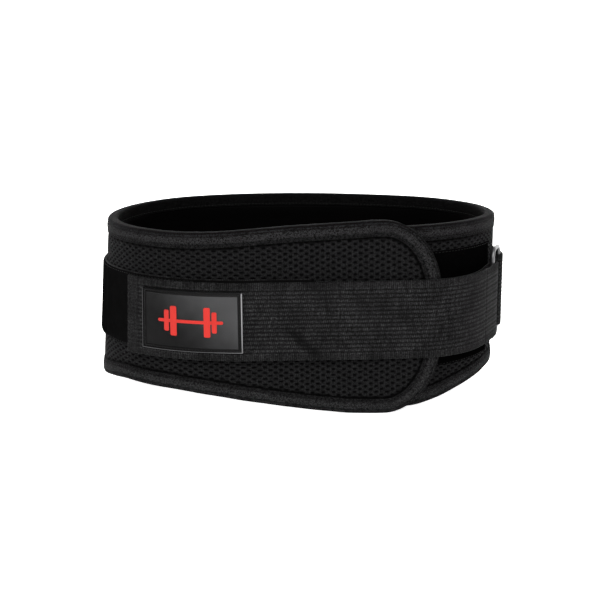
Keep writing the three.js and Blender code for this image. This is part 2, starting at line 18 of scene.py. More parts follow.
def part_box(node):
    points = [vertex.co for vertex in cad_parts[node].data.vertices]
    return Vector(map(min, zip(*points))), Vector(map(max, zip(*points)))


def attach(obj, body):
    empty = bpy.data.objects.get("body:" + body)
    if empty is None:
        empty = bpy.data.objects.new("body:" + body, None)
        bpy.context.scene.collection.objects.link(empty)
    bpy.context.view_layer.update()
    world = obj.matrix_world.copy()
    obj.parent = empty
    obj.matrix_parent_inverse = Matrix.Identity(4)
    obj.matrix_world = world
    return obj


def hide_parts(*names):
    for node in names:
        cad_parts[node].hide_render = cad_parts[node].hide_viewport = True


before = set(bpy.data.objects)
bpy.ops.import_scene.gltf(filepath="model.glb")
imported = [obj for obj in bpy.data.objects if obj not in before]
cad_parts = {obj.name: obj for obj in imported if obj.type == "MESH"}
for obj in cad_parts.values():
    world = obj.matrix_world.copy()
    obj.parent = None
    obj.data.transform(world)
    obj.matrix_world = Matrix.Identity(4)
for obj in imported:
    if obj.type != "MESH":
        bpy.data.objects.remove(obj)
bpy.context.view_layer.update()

bl_info = {
    "name": "Training belt dresser",
    "version": (1, 0, 0),
    "blender": (4, 5, 0),
    "location": "View3D > Sidebar > Belt",
    "description": "Builds the fabric, webbing, stitching, ring and label of a padded belt",
    "category": "Object",
}

MM = 0.001

# Plan of the belt: an oval of four arcs, measured on the outer face of the mesh.
HALF_WIDTH = 167
HALF_DEPTH = 118
END_RADIUS = 108
STRAP_LEVEL = 78.8
FLAP_END = 111.5
OVERLAP = 94
CORNER_LENGTH = 45
END_STRAIGHT = 34
FLARE_PIVOT = 62

# Layers, outwards and inwards from the outer face of the mesh.
GAP = 0.3
MESH_THICKNESS = 1.8
CORE_THICKNESS = 5.6
TAPE_THICKNESS = 0.9
TAPE_PROUD = 0.5
TAPE_OUTER_WIDTH = 12.5
TAPE_INNER_WIDTH = 11
BAND_WIDTH = 62.5
BAND_THICKNESS = 1.6
BAND_RISE = 2.4
BAND_CLIMB = 2.4
BAND_CLIMB_START = -320
BAND_CLIMB_END = -640
BAND_START = 8
BAND_LEAVES = 12
BAND_TAIL_START = 46
BAND_TAIL = 64
SEAT_GAP = 0.4
LOOP_WIDTH = 61
LOOP_THICKNESS = 1.2
LOOP_START = 10
LOOP_END = -300
PATCH_WIDTH = 96
PATCH_RISE = 2
PATCH_START = 46
PATCH_END = 188
HOOK_WIDTH = 50
HOOK_THICKNESS = 1
HOOK_START = -20
HOOK_END = -138
STRAP_WIDTH = 63.5
STRAP_THICKNESS = 1.8
STRAP_CLIMB = 1.1
STRAP_TIP = -144
STRAP_ANCHOR = 12
STRAP_LEAVES = 110
STRAP_FOLD_REACH = 6.2
WIRE_RADIUS = 1.7
RING_BAR_SPACING = 26
RING_OPENING = 73.2
RING_RISE = 5.6
RING_CORNER = 7.4
RING_STATION = 192
RING_STANDOFF = 6.5
LABEL_MIDDLE = -85.7
LABEL_WIDTH = 81
LABEL_HEIGHT = 49
LABEL_THICKNESS = 1.1
LABEL_RIM = 0.5
LABEL_RIM_WIDTH = 3
MOTIF_THICKNESS = 0.4

# Upper and lower edge of the body, read from the strap's middle.
EDGE_ROWS = (
    # place, top, bottom
    (112, 78.8, -78.8),
    (62, 78.8, -78.8),
    (42, 77.6, -78.5),
    (20, 76.4, -76.6),
    (-10, 74.8, -72.8),
    (-40, 72.7, -68),
    (-75, 70.2, -62.6),
    (-110, 69.1, -59.4),
    (-150, 69.1, -58.9),
    (-175, 69.2, -61.6),
    (-200, 69.3, -65.5),
    (-240, 69.6, -69),
    (-300, 70.4, -70.5),
    (-345, 71, -74),
    (-385, 71.2, -78.8),
    (-460, 70.8, -78.8),
    (-534, 70, -78.8),
    (-574, 69.8, -73),
    (-620, 69.8, -64),
    (-689, 70.2, -61.5),
    (-725, 70.8, -61.8),
    (-747, 71.2, -64),
    (-773, 71.4, -68.2),
    (-801, 71.4, -74.6),
    (-824, 71.4, -78.2),
    (-845, 71.4, -78.8),
    (-901, 71.4, -78.8),
)

# How far the outer face stands off the oval, and how far the wall leans out over 100 mm going down.
PLAN_ROWS = (
    # place, off, flare
    (130, 12, 0),
    (118, 11, 0),
    (100, 8.5, 0),
    (84, 4.5, 0),
    (60, -0.5, 0),
    (42, -3.7, 0),
    (20, -6, 0),
    (0, -6.2, 0),
    (-27, -4, 0),
    (-52, 0, 0),
    (-85, 2.2, 1.2),
    (-110, 1, 3),
    (-160, -0.1, 6),
    (-200, 0, 7.2),
    (-260, 0, 7.2),
    (-330, 0, 4.5),
    (-420, 0, 0),
    (-600, 0, 0),
    (-660, 1.4, 0),
    (-695, 1.4, 0),
    (-734, -1.5, 0),
    (-769, -4.5, 0),
    (-801, -7.5, 0),
    (-835, -10, 0),
    (-859, -13, 0),
    (-877, -15.5, 0),
    (-901, -17.5, 0),
    (-930, -17.5, 0),
)

# The middle of the strap on its way to the ring and back: place, off, and its share of the strap's climb.
OUTER_RUN = ((118, 14.9, 0.1), (130, 15.2, 0.3), (142, 14.2, 0.5), (156, 11.9, 0.8), (168, 10.1, 1))
INNER_RUN = ((168, 4.8, 1), (156, 7.9, 0.8), (142, 11.1, 0.5), (130, 12.7, 0.3), (118, 12.5, 0.1))

# The middle of the band's tail, from the ring back to the body: place, off.
BAND_RETURN = ((214, 8.6), (222, 7.3), (232, 6), (242, 4.9))

FRONT_RADIUS = ((HALF_WIDTH - END_RADIUS) ** 2 + HALF_DEPTH**2 - END_RADIUS**2) / (
    2 * (HALF_DEPTH - END_RADIUS)
)
FRONT_ANGLE = math.atan2(HALF_WIDTH - END_RADIUS, FRONT_RADIUS - HALF_DEPTH)
FRONT_ARC = FRONT_RADIUS * FRONT_ANGLE
END_ARC = END_RADIUS * (math.pi - 2 * FRONT_ANGLE)
PERIMETER = 4 * FRONT_ARC + 2 * END_ARC
HIDDEN_END = FLAP_END - OVERLAP - PERIMETER

# The binding: how far in from the edge its seams lie, its inner face, and how deep it sinks into the body.
OUTER_SEAM = 10.6
INNER_SEAM = 9.3
TAPE_INNER_FACE = -(MESH_THICKNESS + GAP + CORE_THICKNESS) - TAPE_PROUD
TAPE_SUNK = TAPE_THICKNESS - TAPE_PROUD + GAP

# The mesh: where its field ends under the binding, how deep its backing lies, the shape of a hole as
# corners in degrees and rings of (size, depth), and the side pull that draws the holes long and low.
MESH_TUCKED = 5
MESH_BACKING = -1.35
HOLE_CORNERS = (0, 52, 128, 180, 232, 308)
HOLE_RINGS = ((1.0, 0.28), (0.72, 1.0))
PULLED_FROM = (0, -45)
PULLED_LONGER = 0.35
PULLED_LOWER = 0.22

# The strap: its folded hem, how far after it leaves the flap it has its upright bends, and its creases.
STRAP_HEM = 13
STRAP_HEM_SEAM = 5
STRAP_BENDS = (3.5, 9.5, 52)
STRAP_CREASES = (
    # place, height, slope, width, length, depth
    (1, -16, -1.0, 6.5, 25, 1.7),
    (34, -19, -1.1, 5.0, 15, 1.0),
    (-12, 13, -0.6, 5.0, 22, 0.6),
    (60, 8, -0.2, 5.0, 26, 0.5),
)

# The band: its points are this much further apart than its threads. Its seams lie this far inside its
# edges, start here along it, and cross its tail this far before its end.
BAND_COARSER = 1.5
BAND_SEAM = 2.2
BAND_SEAM_START = 330
BAND_TAIL_SEAMS = (3, 20)

# The velvet: how far its seam lies inside its edge, where the strip's seam ends under the strap, and the
# share of its thickness that its edge has.
VELVET_SEAM = 1.2
LOOP_SEAM_END = -82.8
SELVEDGE = 0.62

# The hooks: their pitch, and the stem of one.
HOOK_PITCH = 2.4
HOOK_STEM = (
    # lean, height, radius
    (0, -0.1, 0.2),
    (0, 0.25, 0.15),
    (0.12, 0.42, 0.13),
    (0.34, 0.4, 0.06),
)

# Seams: the spacing of the fine ones on label, hem and tail, and how deep a thread lies.
FINE_SPACING = 2.6
THREAD_SUNK = 0.12

# The label: its gap to the strap, where its sewing groove runs and how deep, the distances from its edge
# that have points, and the bar and plates of its barbell, read from the label's middle.
LABEL_SEAT = 0.3
LABEL_SEAM = 1.9
LABEL_GROOVE = 0.42
LABEL_CUTS = (0, 0.18, 0.4, 1.0, 1.35, 1.6, 1.85, 2.2, 2.9, 3.15, 3.35, 3.6)
BARBELL = (
    # start, end, half height
    (-26, 26, 1.3),
    (11, 16, 12),
    (17.2, 21, 8.5),
    (-16, -11, 12),
    (-21, -17.2, 8.5),
)

# The camera: where the photograph was taken from, found by matching the belt's outline.
CAMERA_DISTANCE = 1000
CAMERA_TILT = math.radians(13.08)
CAMERA_ROLL = math.radians(-0.43)
CAMERA_SIDE = -0.7
CAMERA_DROP = -9.8
CAMERA_LENS = 67.26

# The studio paper, in metres: how far it reaches, where it bends up into a wall behind the belt, how far
# it lies below the belt, and how strongly it glows.
PAPER_REACH = 90
PAPER_WALL = 6
PAPER_BEND = 2
PAPER_TOP = 9
PAPER_DROP = 0.0004
PAPER_GLOW = 0.8


def smoothstep(value, low, high):
    """0 below low, 1 above high, and a soft step between."""
    share = np.clip((value - low) / (high - low), 0, 1)
    return share * share * (3 - 2 * share)


def hump(value, middle, width):
    """A bell of height 1 round middle."""
    return np.exp(-(((value - middle) / width) ** 2))


def smooth_between(knots, values, slopes, at):
    """A smooth curve through values at rising knots, with a slope at each, read at some places."""
    i = np.clip(np.searchsorted(knots, at, side="right") - 1, 0, len(knots) - 2)
    span = knots[i + 1] - knots[i]
    share = (at - knots[i]) / span
    if values.ndim > 1:
        span = span[:, None]
        share = share[:, None]
    blend = share * share * (3 - 2 * share)
    pull = span * (slopes[i] * share * (1 - share) ** 2 + slopes[i + 1] * share * share * (share - 1))
    return values[i] * (1 - blend) + values[i + 1] * blend + pull


def table_curve(rows, column):
    """A smooth curve through one column of a table, with no overshoot between its rows."""
    table = np.array(sorted(rows), float)
    x, y = table[:, 0], table[:, column]
    step = np.diff(y) / np.diff(x)
    product = step[:-1] * step[1:]
    total = step[:-1] + step[1:]
    slope = np.zeros(len(x))
    slope[1:-1] = np.where(product > 0, 2 * product / np.where(total == 0, 1, total), 0)
    return lambda place: smooth_between(x, y, slope, np.clip(place, x[0], x[-1]))


top_edge = table_curve(EDGE_ROWS, 1)
bottom_edge = table_curve(EDGE_ROWS, 2)
body_offset = table_curve(PLAN_ROWS, 1)
body_flare = table_curve(PLAN_ROWS, 2)


def oval(place, off):
    """The point of the oval at a place, moved outwards by off, in plan."""
    place, off = np.broadcast_arrays(np.asarray(place, float), np.asarray(off, float))
    wrapped = place - PERIMETER * np.round(place / PERIMETER)
    side = np.where(wrapped < 0, -1.0, 1.0)
    along = np.abs(wrapped)
    in_end = (along > FRONT_ARC) & (along <= FRONT_ARC + END_ARC)
    in_back = along > FRONT_ARC + END_ARC
    radius = np.where(in_end, END_RADIUS, FRONT_RADIUS)
    centre_x = np.where(in_end, HALF_WIDTH - END_RADIUS, 0)
    centre_y = np.where(in_end, 0, np.where(in_back, HALF_DEPTH - FRONT_RADIUS, FRONT_RADIUS - HALF_DEPTH))
    end_angle = FRONT_ANGLE + (along - FRONT_ARC) / END_RADIUS
    back_angle = math.pi - FRONT_ANGLE + (along - FRONT_ARC - END_ARC) / FRONT_RADIUS
    angle = np.where(in_end, end_angle, np.where(in_back, back_angle, along / FRONT_RADIUS))
    x = centre_x + (radius + off) * np.sin(angle)
    y = centre_y - (radius + off) * np.cos(angle)
    return np.stack([side * x, y], -1)


def on_body(place, height, off):
    """A point off the body's outer face, at a height read from the strap's middle."""
    place, height, off = np.broadcast_arrays(
        np.asarray(place, float), np.asarray(height, float), np.asarray(off, float)
    )
    lean = body_flare(place) / 100 * (FLARE_PIVOT - height)
    plan = oval(place, body_offset(place) + lean + off)
    return np.concatenate([plan, (STRAP_LEVEL + height)[..., None]], -1)


def ring_frame():
    """The ring's two upright bars, in plan, with the direction from front bar to rear bar and outwards."""
    front = oval(RING_STATION - RING_BAR_SPACING / 2, RING_STANDOFF)
    towards = oval(RING_STATION + RING_BAR_SPACING / 2, RING_STANDOFF)
    along = (towards - front) / np.linalg.norm(towards - front)
    out = np.array([along[1], -along[0]])
    return {"front": front, "rear": front + along * RING_BAR_SPACING, "along": along, "out": out}


RING = ring_frame()
RING_MIDDLE = (RING["front"] + RING["rear"]) / 2


def frame_shift():
    """What the frame adds to the plan to centre the belt's box, read from the ring's own box."""
    low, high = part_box("buckle_ring")
    middle = (np.array(low) + np.array(high)) / 2 / MM
    return np.array([middle[0] - RING_MIDDLE[0], middle[1] - RING_MIDDLE[1], 0])


SHIFT = frame_shift()


def to_frame(points):
    """Points of the plan, in millimetres, as points of the frame, in metres."""
    return (points + SHIFT) * MM


class Outline:
    """The body's edge laid flat: an upper and a lower row of matching points, each with its way inwards."""

    def __init__(self, step, corner_steps=16):
        count = int((FLAP_END - HIDDEN_END - 2 * CORNER_LENGTH) / step)
        run = np.linspace(FLAP_END - CORNER_LENGTH, HIDDEN_END + CORNER_LENGTH, count + 1)[1:-1]
        self.upper = self._row(top_edge, 1, run, corner_steps)
        self.lower = self._row(bottom_edge, -1, run, corner_steps)

    @staticmethod
    def _corner(end, inwards, edge, side, steps):
        middle = end + inwards * CORNER_LENGTH
        height = abs(edge(middle)) - END_STRAIGHT / 2
        angle = np.linspace(0, math.pi / 2, steps + 1)
        out_x = -inwards * np.cos(angle) / CORNER_LENGTH
        out_z = side * np.sin(angle) / height
        length = np.hypot(out_x, out_z)
        place = middle - inwards * CORNER_LENGTH * np.cos(angle)
        level = edge(middle) - side * height * (1 - np.sin(angle))
        return np.column_stack([place, level, -out_x / length, -out_z / length])

    def _row(self, edge, side, run, steps):
        slope = (edge(run + 1) - edge(run - 1)) / 2
        length = np.hypot(slope, 1)
        straight = np.column_stack([run, edge(run), side * slope / length, -side / length])
        first = self._corner(FLAP_END, -1, edge, side, steps)
        last = self._corner(HIDDEN_END, 1, edge, side, steps)[::-1]
        return np.concatenate([first, straight, last])

    @staticmethod
    def at(row, inset):
        """Place and height of a row's points, moved inwards."""
        return row[:, 0] + row[:, 2] * inset, row[:, 1] + row[:, 3] * inset


class Route:
    """A strip's way in plan, kept as the line of its lower and of its upper edge."""

    def __init__(self, knots, low, high, step):
        self.low, self.high = low, high
        middle = (knots[:, 0:2] + knots[:, 2:4]) / 2
        chord = np.concatenate([[0], np.cumsum(np.linalg.norm(np.diff(middle, axis=0), axis=1))])
        slope = np.gradient(knots, chord, axis=0)
        self.along = np.linspace(0, chord[-1], int(chord[-1] / step) + 1)
        self.length = float(self.along[-1])
        self.knot_chord = chord
        self.columns = smooth_between(chord, knots, slope, self.along)
        tangent = np.gradient(self.columns, self.along, axis=0)
        self.sides = np.column_stack([self._side(tangent[:, 0:2]), self._side(tangent[:, 2:4])])

    @staticmethod
    def _side(tangent):
        side = np.column_stack([tangent[:, 1], -tangent[:, 0]])
        return side / np.linalg.norm(side, axis=1)[:, None]

    def point(self, s, h, d):
        """The point at a distance along the strip, at a height, and at a depth off its middle layer."""
        s, h, d = np.broadcast_arrays(np.asarray(s, float), np.asarray(h, float), np.asarray(d, float))
        column = [np.interp(s, self.along, self.columns[:, k]) for k in range(5)]
        side = [np.interp(s, self.along, self.sides[:, k]) for k in range(4)]
        share = (h - self.low) / (self.high - self.low)
        side_x = side[0] * (1 - share) + side[2] * share
        side_y = side[1] * (1 - share) + side[3] * share
        length = np.hypot(side_x, side_y)
        x = column[0] * (1 - share) + column[2] * share + d * side_x / length
        y = column[1] * (1 - share) + column[3] * share + d * side_y / length
        return np.stack([x, y, STRAP_LEVEL + h + column[4]], -1)


class RouteStops:
    """Collects the stops of a strip, each with its lower and its upper point in plan, and its rise."""

    def __init__(self, low, high):
        self.low, self.high = low, high
        self.stops = []

    def on_body(self, start, end, off, rise=lambda place: 0 * place):
        """A stretch along the body, with a stop about every 2 mm."""
        place = np.linspace(start, end, max(int(abs(end - start) / 2), 1) + 1)
        offs = off(place) if callable(off) else off
        low, high = (on_body(place, edge + rise(place), offs)[:, :2] for edge in (self.low, self.high))
        self.stops.append(np.column_stack([low, high, rise(place)]))

    def free(self, points, rises):
        """Points in plan, at which the strip stands upright."""
        self.stops.append(np.column_stack([points, points, np.full(len(points), rises, float)]))

    def route(self):
        """The strip's route. Its first stretch lies on the body, as far as body_run."""
        route = Route(np.concatenate(self.stops), self.low, self.high, step=0.5)
        route.body_run = float(route.knot_chord[len(self.stops[0]) - 1])
        return route


def fold_round(bar, reach, thickness, towards):
    """Half a turn of webbing round a bar of the ring, from its outer side to its inner side."""
    radius = WIRE_RADIUS + GAP + thickness / 2
    angle = np.linspace(0, math.pi, 9)[:, None]
    return (
        bar
        + RING["out"] * radius * np.cos(angle)
        + RING["along"] * towards * (reach + radius * np.sin(angle))
    )


LOOP_MIDDLE = SEAT_GAP + BAND_THICKNESS + GAP + LOOP_THICKNESS / 2
HOOK_MIDDLE = LOOP_MIDDLE + LOOP_THICKNESS / 2 + GAP + HOOK_THICKNESS / 2
STRAP_MIDDLE = HOOK_MIDDLE + HOOK_THICKNESS / 2 + GAP + STRAP_THICKNESS / 2
STRAP_AT_FLAP_END = 4.2
ANCHOR_MIDDLE = TAPE_PROUD + 1.5 * GAP + STRAP_THICKNESS / 2
strap_offset = table_curve(
    ((118, STRAP_AT_FLAP_END), (84, STRAP_AT_FLAP_END), (24, STRAP_MIDDLE), (-160, STRAP_MIDDLE)), 1
)


def band_climb(place):
    share = (BAND_CLIMB_START - place) / (BAND_CLIMB_START - BAND_CLIMB_END)
    return BAND_CLIMB * np.clip(share, 0, 1)


def strap_route():
    """The pull strap: from its tip over the flap to the ring, round it, and back under the flap."""
    stops = RouteStops(-STRAP_WIDTH / 2, STRAP_WIDTH / 2)
    stops.on_body(STRAP_TIP, STRAP_LEAVES, strap_offset)
    outer, inner = np.array(OUTER_RUN).T, np.array(INNER_RUN).T
    stops.free(oval(outer[0], outer[1]), STRAP_CLIMB * outer[2])
    bar = RING["front"]
    beside = RING["out"] * (WIRE_RADIUS + GAP + STRAP_THICKNESS / 2)
    fold = fold_round(bar, STRAP_FOLD_REACH, STRAP_THICKNESS, 1)
    stops.free([bar + beside, *fold, bar - beside], STRAP_CLIMB)
    stops.free(oval(inner[0], inner[1]), STRAP_CLIMB * inner[2])
    stops.on_body(STRAP_LEAVES, STRAP_ANCHOR, ANCHOR_MIDDLE)
    return stops.route()


def band_route():
    """The waist band: round the body to the ring's rear bar, and a short way back."""
    low = BAND_RISE - BAND_WIDTH / 2
    stops = RouteStops(low, low + BAND_WIDTH)
    middle = SEAT_GAP + BAND_THICKNESS / 2
    rear_bar = RING_STATION + RING_BAR_SPACING / 2 - PERIMETER
    stops.on_body(BAND_START, rear_bar + BAND_LEAVES, middle, band_climb)
    stops.free(fold_round(RING["rear"], 0, BAND_THICKNESS, -1)[::-1], BAND_CLIMB)
    stops.free(oval(*np.array(BAND_RETURN).T), BAND_CLIMB)
    tail = rear_bar + BAND_TAIL_START, rear_bar + BAND_TAIL
    stops.on_body(*tail, middle + BAND_THICKNESS + GAP, band_climb)
    return stops.route()


STRAP_ROUTE = strap_route()
BAND_ROUTE = band_route()


# Meshes


def new_object(name, data):
    thing = bpy.data.objects.new(name, data)
    bpy.context.scene.collection.objects.link(thing)
    return thing


def write_cloth(mesh, along, up, relief):
    """The attribute that the cloth materials read: distance along, distance up, and depth off the cloth."""
    layer = mesh.attributes.new("cloth", "FLOAT_VECTOR", "POINT")
    values = np.column_stack([along, up, relief]).astype(np.float32)
    layer.data.foreach_set("vector", values.ravel())


def numbered(rows, columns):
    return np.arange(rows * columns).reshape(rows, columns)


def grid_faces(index, close_rows=False, close_columns=False):
    """Four-sided faces over a grid of point numbers."""
    if close_rows:
        index = np.concatenate([index, index[:1]])
    if close_columns:
        index = np.concatenate([index, index[:, :1]], axis=1)
    corners = index[:-1, :-1], index[:-1, 1:], index[1:, 1:], index[1:, :-1]
    return np.stack([corner.ravel() for corner in corners], -1).tolist()


def smooth_faces(mesh):
    mesh.polygons.foreach_set("use_smooth", [True] * len(mesh.polygons))


def shell_mesh(name, points, faces, material, cloth, sharp):
    """A mesh from points of the plan, with its faces turned outwards and smooth up to a sharp angle."""
    mesh = bpy.data.meshes.new(name)
    mesh.from_pydata(to_frame(points), [], faces)
    write_cloth(mesh, *cloth)
    shape = bmesh.new()
    shape.from_mesh(mesh)
    bmesh.ops.recalc_face_normals(shape, faces=shape.faces)
    shape.to_mesh(mesh)
    shape.free()
    smooth_faces(mesh)
    mesh.set_sharp_from_angle(angle=math.radians(sharp))
    mesh.materials.append(material)
    return mesh


def tube_mesh(name, points, cloth, material, sharp):
    """A closed strip from rows of points, each row a loop round it, with a lid at each end."""
    index = numbered(*points.shape[:2])
    faces = grid_faces(index, close_columns=True)
    faces += [index[0].tolist(), index[-1].tolist()]
    cloth = [np.broadcast_to(layer, index.shape).ravel() for layer in cloth]
    return shell_mesh(name, points.reshape(-1, 3), faces, material, cloth, sharp)


def sweep(name, surface, stations, heights, front, back, material, sharp=50, level=0, full_back=False):
    """A closed strip along stations. The functions front and back say how far off its two faces lie."""
    face_count = len(heights)
    heights = np.concatenate([heights, heights[::-1] if full_back else heights[[-1, 0]]])
    is_front = np.arange(len(heights)) < face_count
    s, h = np.broadcast_arrays(np.asarray(stations, float)[:, None], heights[None, :])
    d = np.where(is_front, front(s, h), back(s, h))
    return tube_mesh(name, surface(s, h, d), (s, h - level, d), material, sharp)


def body_panel(name, outline, profile, rows, relief, material):
    """A panel of the body: rings of (inset, off) from outer to inner face, with both faces filled."""
    loop = np.concatenate([outline.upper, outline.lower[::-1]])
    size, count = len(loop), len(outline.upper)
    flat = []
    for inset, off in profile:
        flat.append(np.column_stack([*Outline.at(loop, inset), np.full(size, off)]))
    faces = grid_faces(numbered(len(profile), size), close_columns=True)
    share = np.linspace(0, 1, rows + 2)[1:-1, None]
    start = len(profile) * size
    for ring in (0, len(profile) - 1):
        inset, off = profile[ring]
        top = np.array(Outline.at(outline.upper, inset))[:, None]
        bottom = np.array(Outline.at(outline.lower, inset))[:, None]
        place, height = top * (1 - share) + bottom * share
        depth = off + relief(place, height, ring)
        flat.append(np.column_stack([place.ravel(), height.ravel(), depth.ravel()]))
        index = np.empty((rows + 2, count), int)
        index[0] = ring * size + np.arange(count)
        index[-1] = ring * size + size - 1 - np.arange(count)
        index[1:-1] = start + numbered(rows, count)
        faces += grid_faces(index)
        start += rows * count
    flat = np.concatenate(flat).T
    return shell_mesh(name, on_body(*flat), faces, material, flat, sharp=50)


def plain_mesh(tree, name, values):
    """Runs a node tree on an empty mesh and returns what it makes as a plain mesh."""
    carrier = new_object(name, bpy.data.meshes.new(name + "_empty"))
    modifier = carrier.modifiers.new("pattern", "NODES")
    modifier.node_group = tree
    for item in tree.interface.items_tree:
        if item.in_out == "INPUT":
            modifier[item.identifier] = values[item.name]
    carrier.update_tag()
    depsgraph = bpy.context.evaluated_depsgraph_get()
    mesh = bpy.data.meshes.new_from_object(carrier.evaluated_get(depsgraph))
    carrier.modifiers.clear()
    bpy.data.objects.remove(carrier)
    mesh.name = name
    return mesh


def flat_points(mesh):
    points = np.empty(len(mesh.vertices) * 3, np.float32)
    mesh.vertices.foreach_get("co", points)
    return points.reshape(-1, 3).astype(float)


def place_points(mesh, points):
    mesh.vertices.foreach_set("co", points.astype(np.float32).ravel())
    mesh.update()


def unit_rows(vectors):
    return vectors / np.linalg.norm(vectors, axis=1)[:, None]


class Line:
    """A line on a surface, with the way along it, across it and off it at each point."""

    def __init__(self, surface, s, h, d):
        self.points = surface(s, h, d)
        self.off = unit_rows(surface(s, h, d + 1) - self.points)
        steps = np.linalg.norm(np.diff(self.points, axis=0), axis=1)
        self.along = np.concatenate([[0], np.cumsum(steps)])
        self.length = float(self.along[-1])
        self.across = np.cross(self.off, unit_rows(np.gradient(self.points, self.along, axis=0)))

    def lay(self, flat):
        """Flat points, laid along the line: x along it, y across it, z off it."""

        def at(values):
            return np.column_stack([np.interp(flat[:, 0], self.along, values[:, k]) for k in range(3)])

        return at(self.points) + at(self.across) * flat[:, 1:2] + at(self.off) * flat[:, 2:3]


def add_piece(name, meshes, slot, *nodes):
    """One object from its meshes, on the belt's one body, with the nodes it replaces hidden. Its slot, the
    finish, is not used.
    """
    pieces = [new_object(name, mesh) for mesh in meshes]
    piece = pieces[0]
    if len(pieces) > 1:
        with bpy.context.temp_override(
            active_object=piece, object=piece, selected_editable_objects=pieces, selected_objects=pieces
        ):
            bpy.ops.object.join()
    piece.name = name
    piece.data.name = name
    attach(piece, "root")
    if nodes:
        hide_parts(*nodes)
    return piece


# Node trees


class NodeBuilder:
    """Short ways to add nodes to a tree, with each input linked or set."""

    def __init__(self, tree):
        self.tree = tree

    def feed(self, socket, value):
        if isinstance(value, bpy.types.NodeSocket):
            self.tree.links.new(value, socket)
        else:
            socket.default_value = value

    def node(self, kind, settings=(), **sockets):
        node = self.tree.nodes.new(kind)
        for key, value in dict(settings).items():
            setattr(node, key, value)
        for key, value in sockets.items():
            self.feed(node.inputs[key.replace("_", " ")], value)
        return node

    def result(self, kind, settings=(), **sockets):
        """The first output of a new node."""
        return self.node(kind, settings, **sockets).outputs[0]

    def math(self, operation, *values):
        node = self.node("ShaderNodeMath", {"operation": operation})
        for socket, value in zip(node.inputs, values):
            self.feed(socket, value)
        return node.outputs[0]


class Pattern(NodeBuilder):
    """A geometry tree for what repeats: named inputs, and an end that realises and paints the instances."""

    def __init__(self, name, inputs):
        super().__init__(bpy.data.node_groups.new(name, "GeometryNodeTree"))
        self.tree.is_modifier = True
        interface = self.tree.interface
        interface.new_socket("Geometry", in_out="OUTPUT", socket_type="NodeSocketGeometry")
        for label, kind in inputs:
            interface.new_socket(label, in_out="INPUT", socket_type="NodeSocket" + kind)
        self.given = self.tree.nodes.new("NodeGroupInput").outputs

    def finish(self, points, instance):
        placed = self.result("GeometryNodeInstanceOnPoints", Points=points, Instance=instance)
        realized = self.result("GeometryNodeRealizeInstances", Geometry=placed)
        painted = self.result(
            "GeometryNodeSetMaterial", Geometry=realized, Material=self.given["Material"]
        )
        self.feed(self.tree.nodes.new("NodeGroupOutput").inputs[0], painted)
        return self.tree


def stitch_tree():
    """A row of stitches along X: each a plump oval of thread."""
    pattern = Pattern(
        "stitch_row",
        (
            ("Count", "Int"),
            ("Spacing", "Float"),
            ("Start", "Float"),
            ("Stitch Length", "Float"),
            ("Thread Radius", "Float"),
            ("Thread Sides", "Int"),
            ("Material", "Material"),
        ),
    )
    given = pattern.given
    radius = given["Thread Radius"]
    row = pattern.result(
        "GeometryNodeMeshLine",
        Count=given["Count"],
        Start_Location=pattern.result("ShaderNodeCombineXYZ", X=given["Start"]),
        Offset=pattern.result("ShaderNodeCombineXYZ", X=given["Spacing"]),
    )
    bead = pattern.result("GeometryNodeMeshUVSphere", Segments=given["Thread Sides"], Rings=4, Radius=1.0)
    half = pattern.math("MULTIPLY", given["Stitch Length"], 0.5)
    size = pattern.result("ShaderNodeCombineXYZ", X=radius, Y=radius, Z=half)
    lying = (0, math.pi / 2, 0)
    stitch = pattern.result("GeometryNodeTransform", Geometry=bead, Rotation=lying, Scale=size)
    return pattern.finish(row, stitch)


def lattice_tree():
    """Cells in staggered rows: one object repeated over a flat field."""
    pattern = Pattern(
        "staggered_cells",
        (
            ("Cell", "Object"),
            ("Columns", "Int"),
            ("Rows", "Int"),
            ("Column Pitch", "Float"),
            ("Row Pitch", "Float"),
            ("Material", "Material"),
        ),
    )
    given = pattern.given
    wide, tall = (
        pattern.math("MULTIPLY", pattern.math("SUBTRACT", given[count], 1), given[pitch])
        for count, pitch in (("Columns", "Column Pitch"), ("Rows", "Row Pitch"))
    )
    field = pattern.result(
        "GeometryNodeMeshGrid",
        Size_X=wide,
        Size_Y=tall,
        Vertices_X=given["Columns"],
        Vertices_Y=given["Rows"],
    )
    position = pattern.result("GeometryNodeInputPosition")
    height = pattern.node("ShaderNodeSeparateXYZ", Vector=position).outputs["Y"]
    above = pattern.math("MULTIPLY_ADD", tall, 0.5, height)
    row = pattern.math("ROUND", pattern.math("DIVIDE", above, given["Row Pitch"]))
    stagger = pattern.math("MULTIPLY", given["Column Pitch"], 0.5)
    shift = pattern.math("MULTIPLY", pattern.math("MODULO", row, 2), stagger)
    offset = pattern.result("ShaderNodeCombineXYZ", X=shift)
    moved = pattern.result("GeometryNodeSetPosition", Geometry=field, Offset=offset)
    cell = pattern.node("GeometryNodeObjectInfo", {"transform_space": "ORIGINAL"}, Object=given["Cell"])
    pattern.feed(cell.inputs["As Instance"], True)
    return pattern.finish(moved, cell.outputs["Geometry"])


def repeat_cell(name, cell, columns, rows, column_pitch, row_pitch, paint):
    """A flat field of a cell in staggered rows, as a plain mesh. The cell itself is removed."""
    values = {
        "Cell": cell,
        "Columns": columns,
        "Rows": rows,
        "Column Pitch": column_pitch,
        "Row Pitch": row_pitch,
        "Material": paint,
    }
    field = plain_mesh(lattice_tree(), name, values)
    bpy.data.objects.remove(cell)
    return field


# Materials


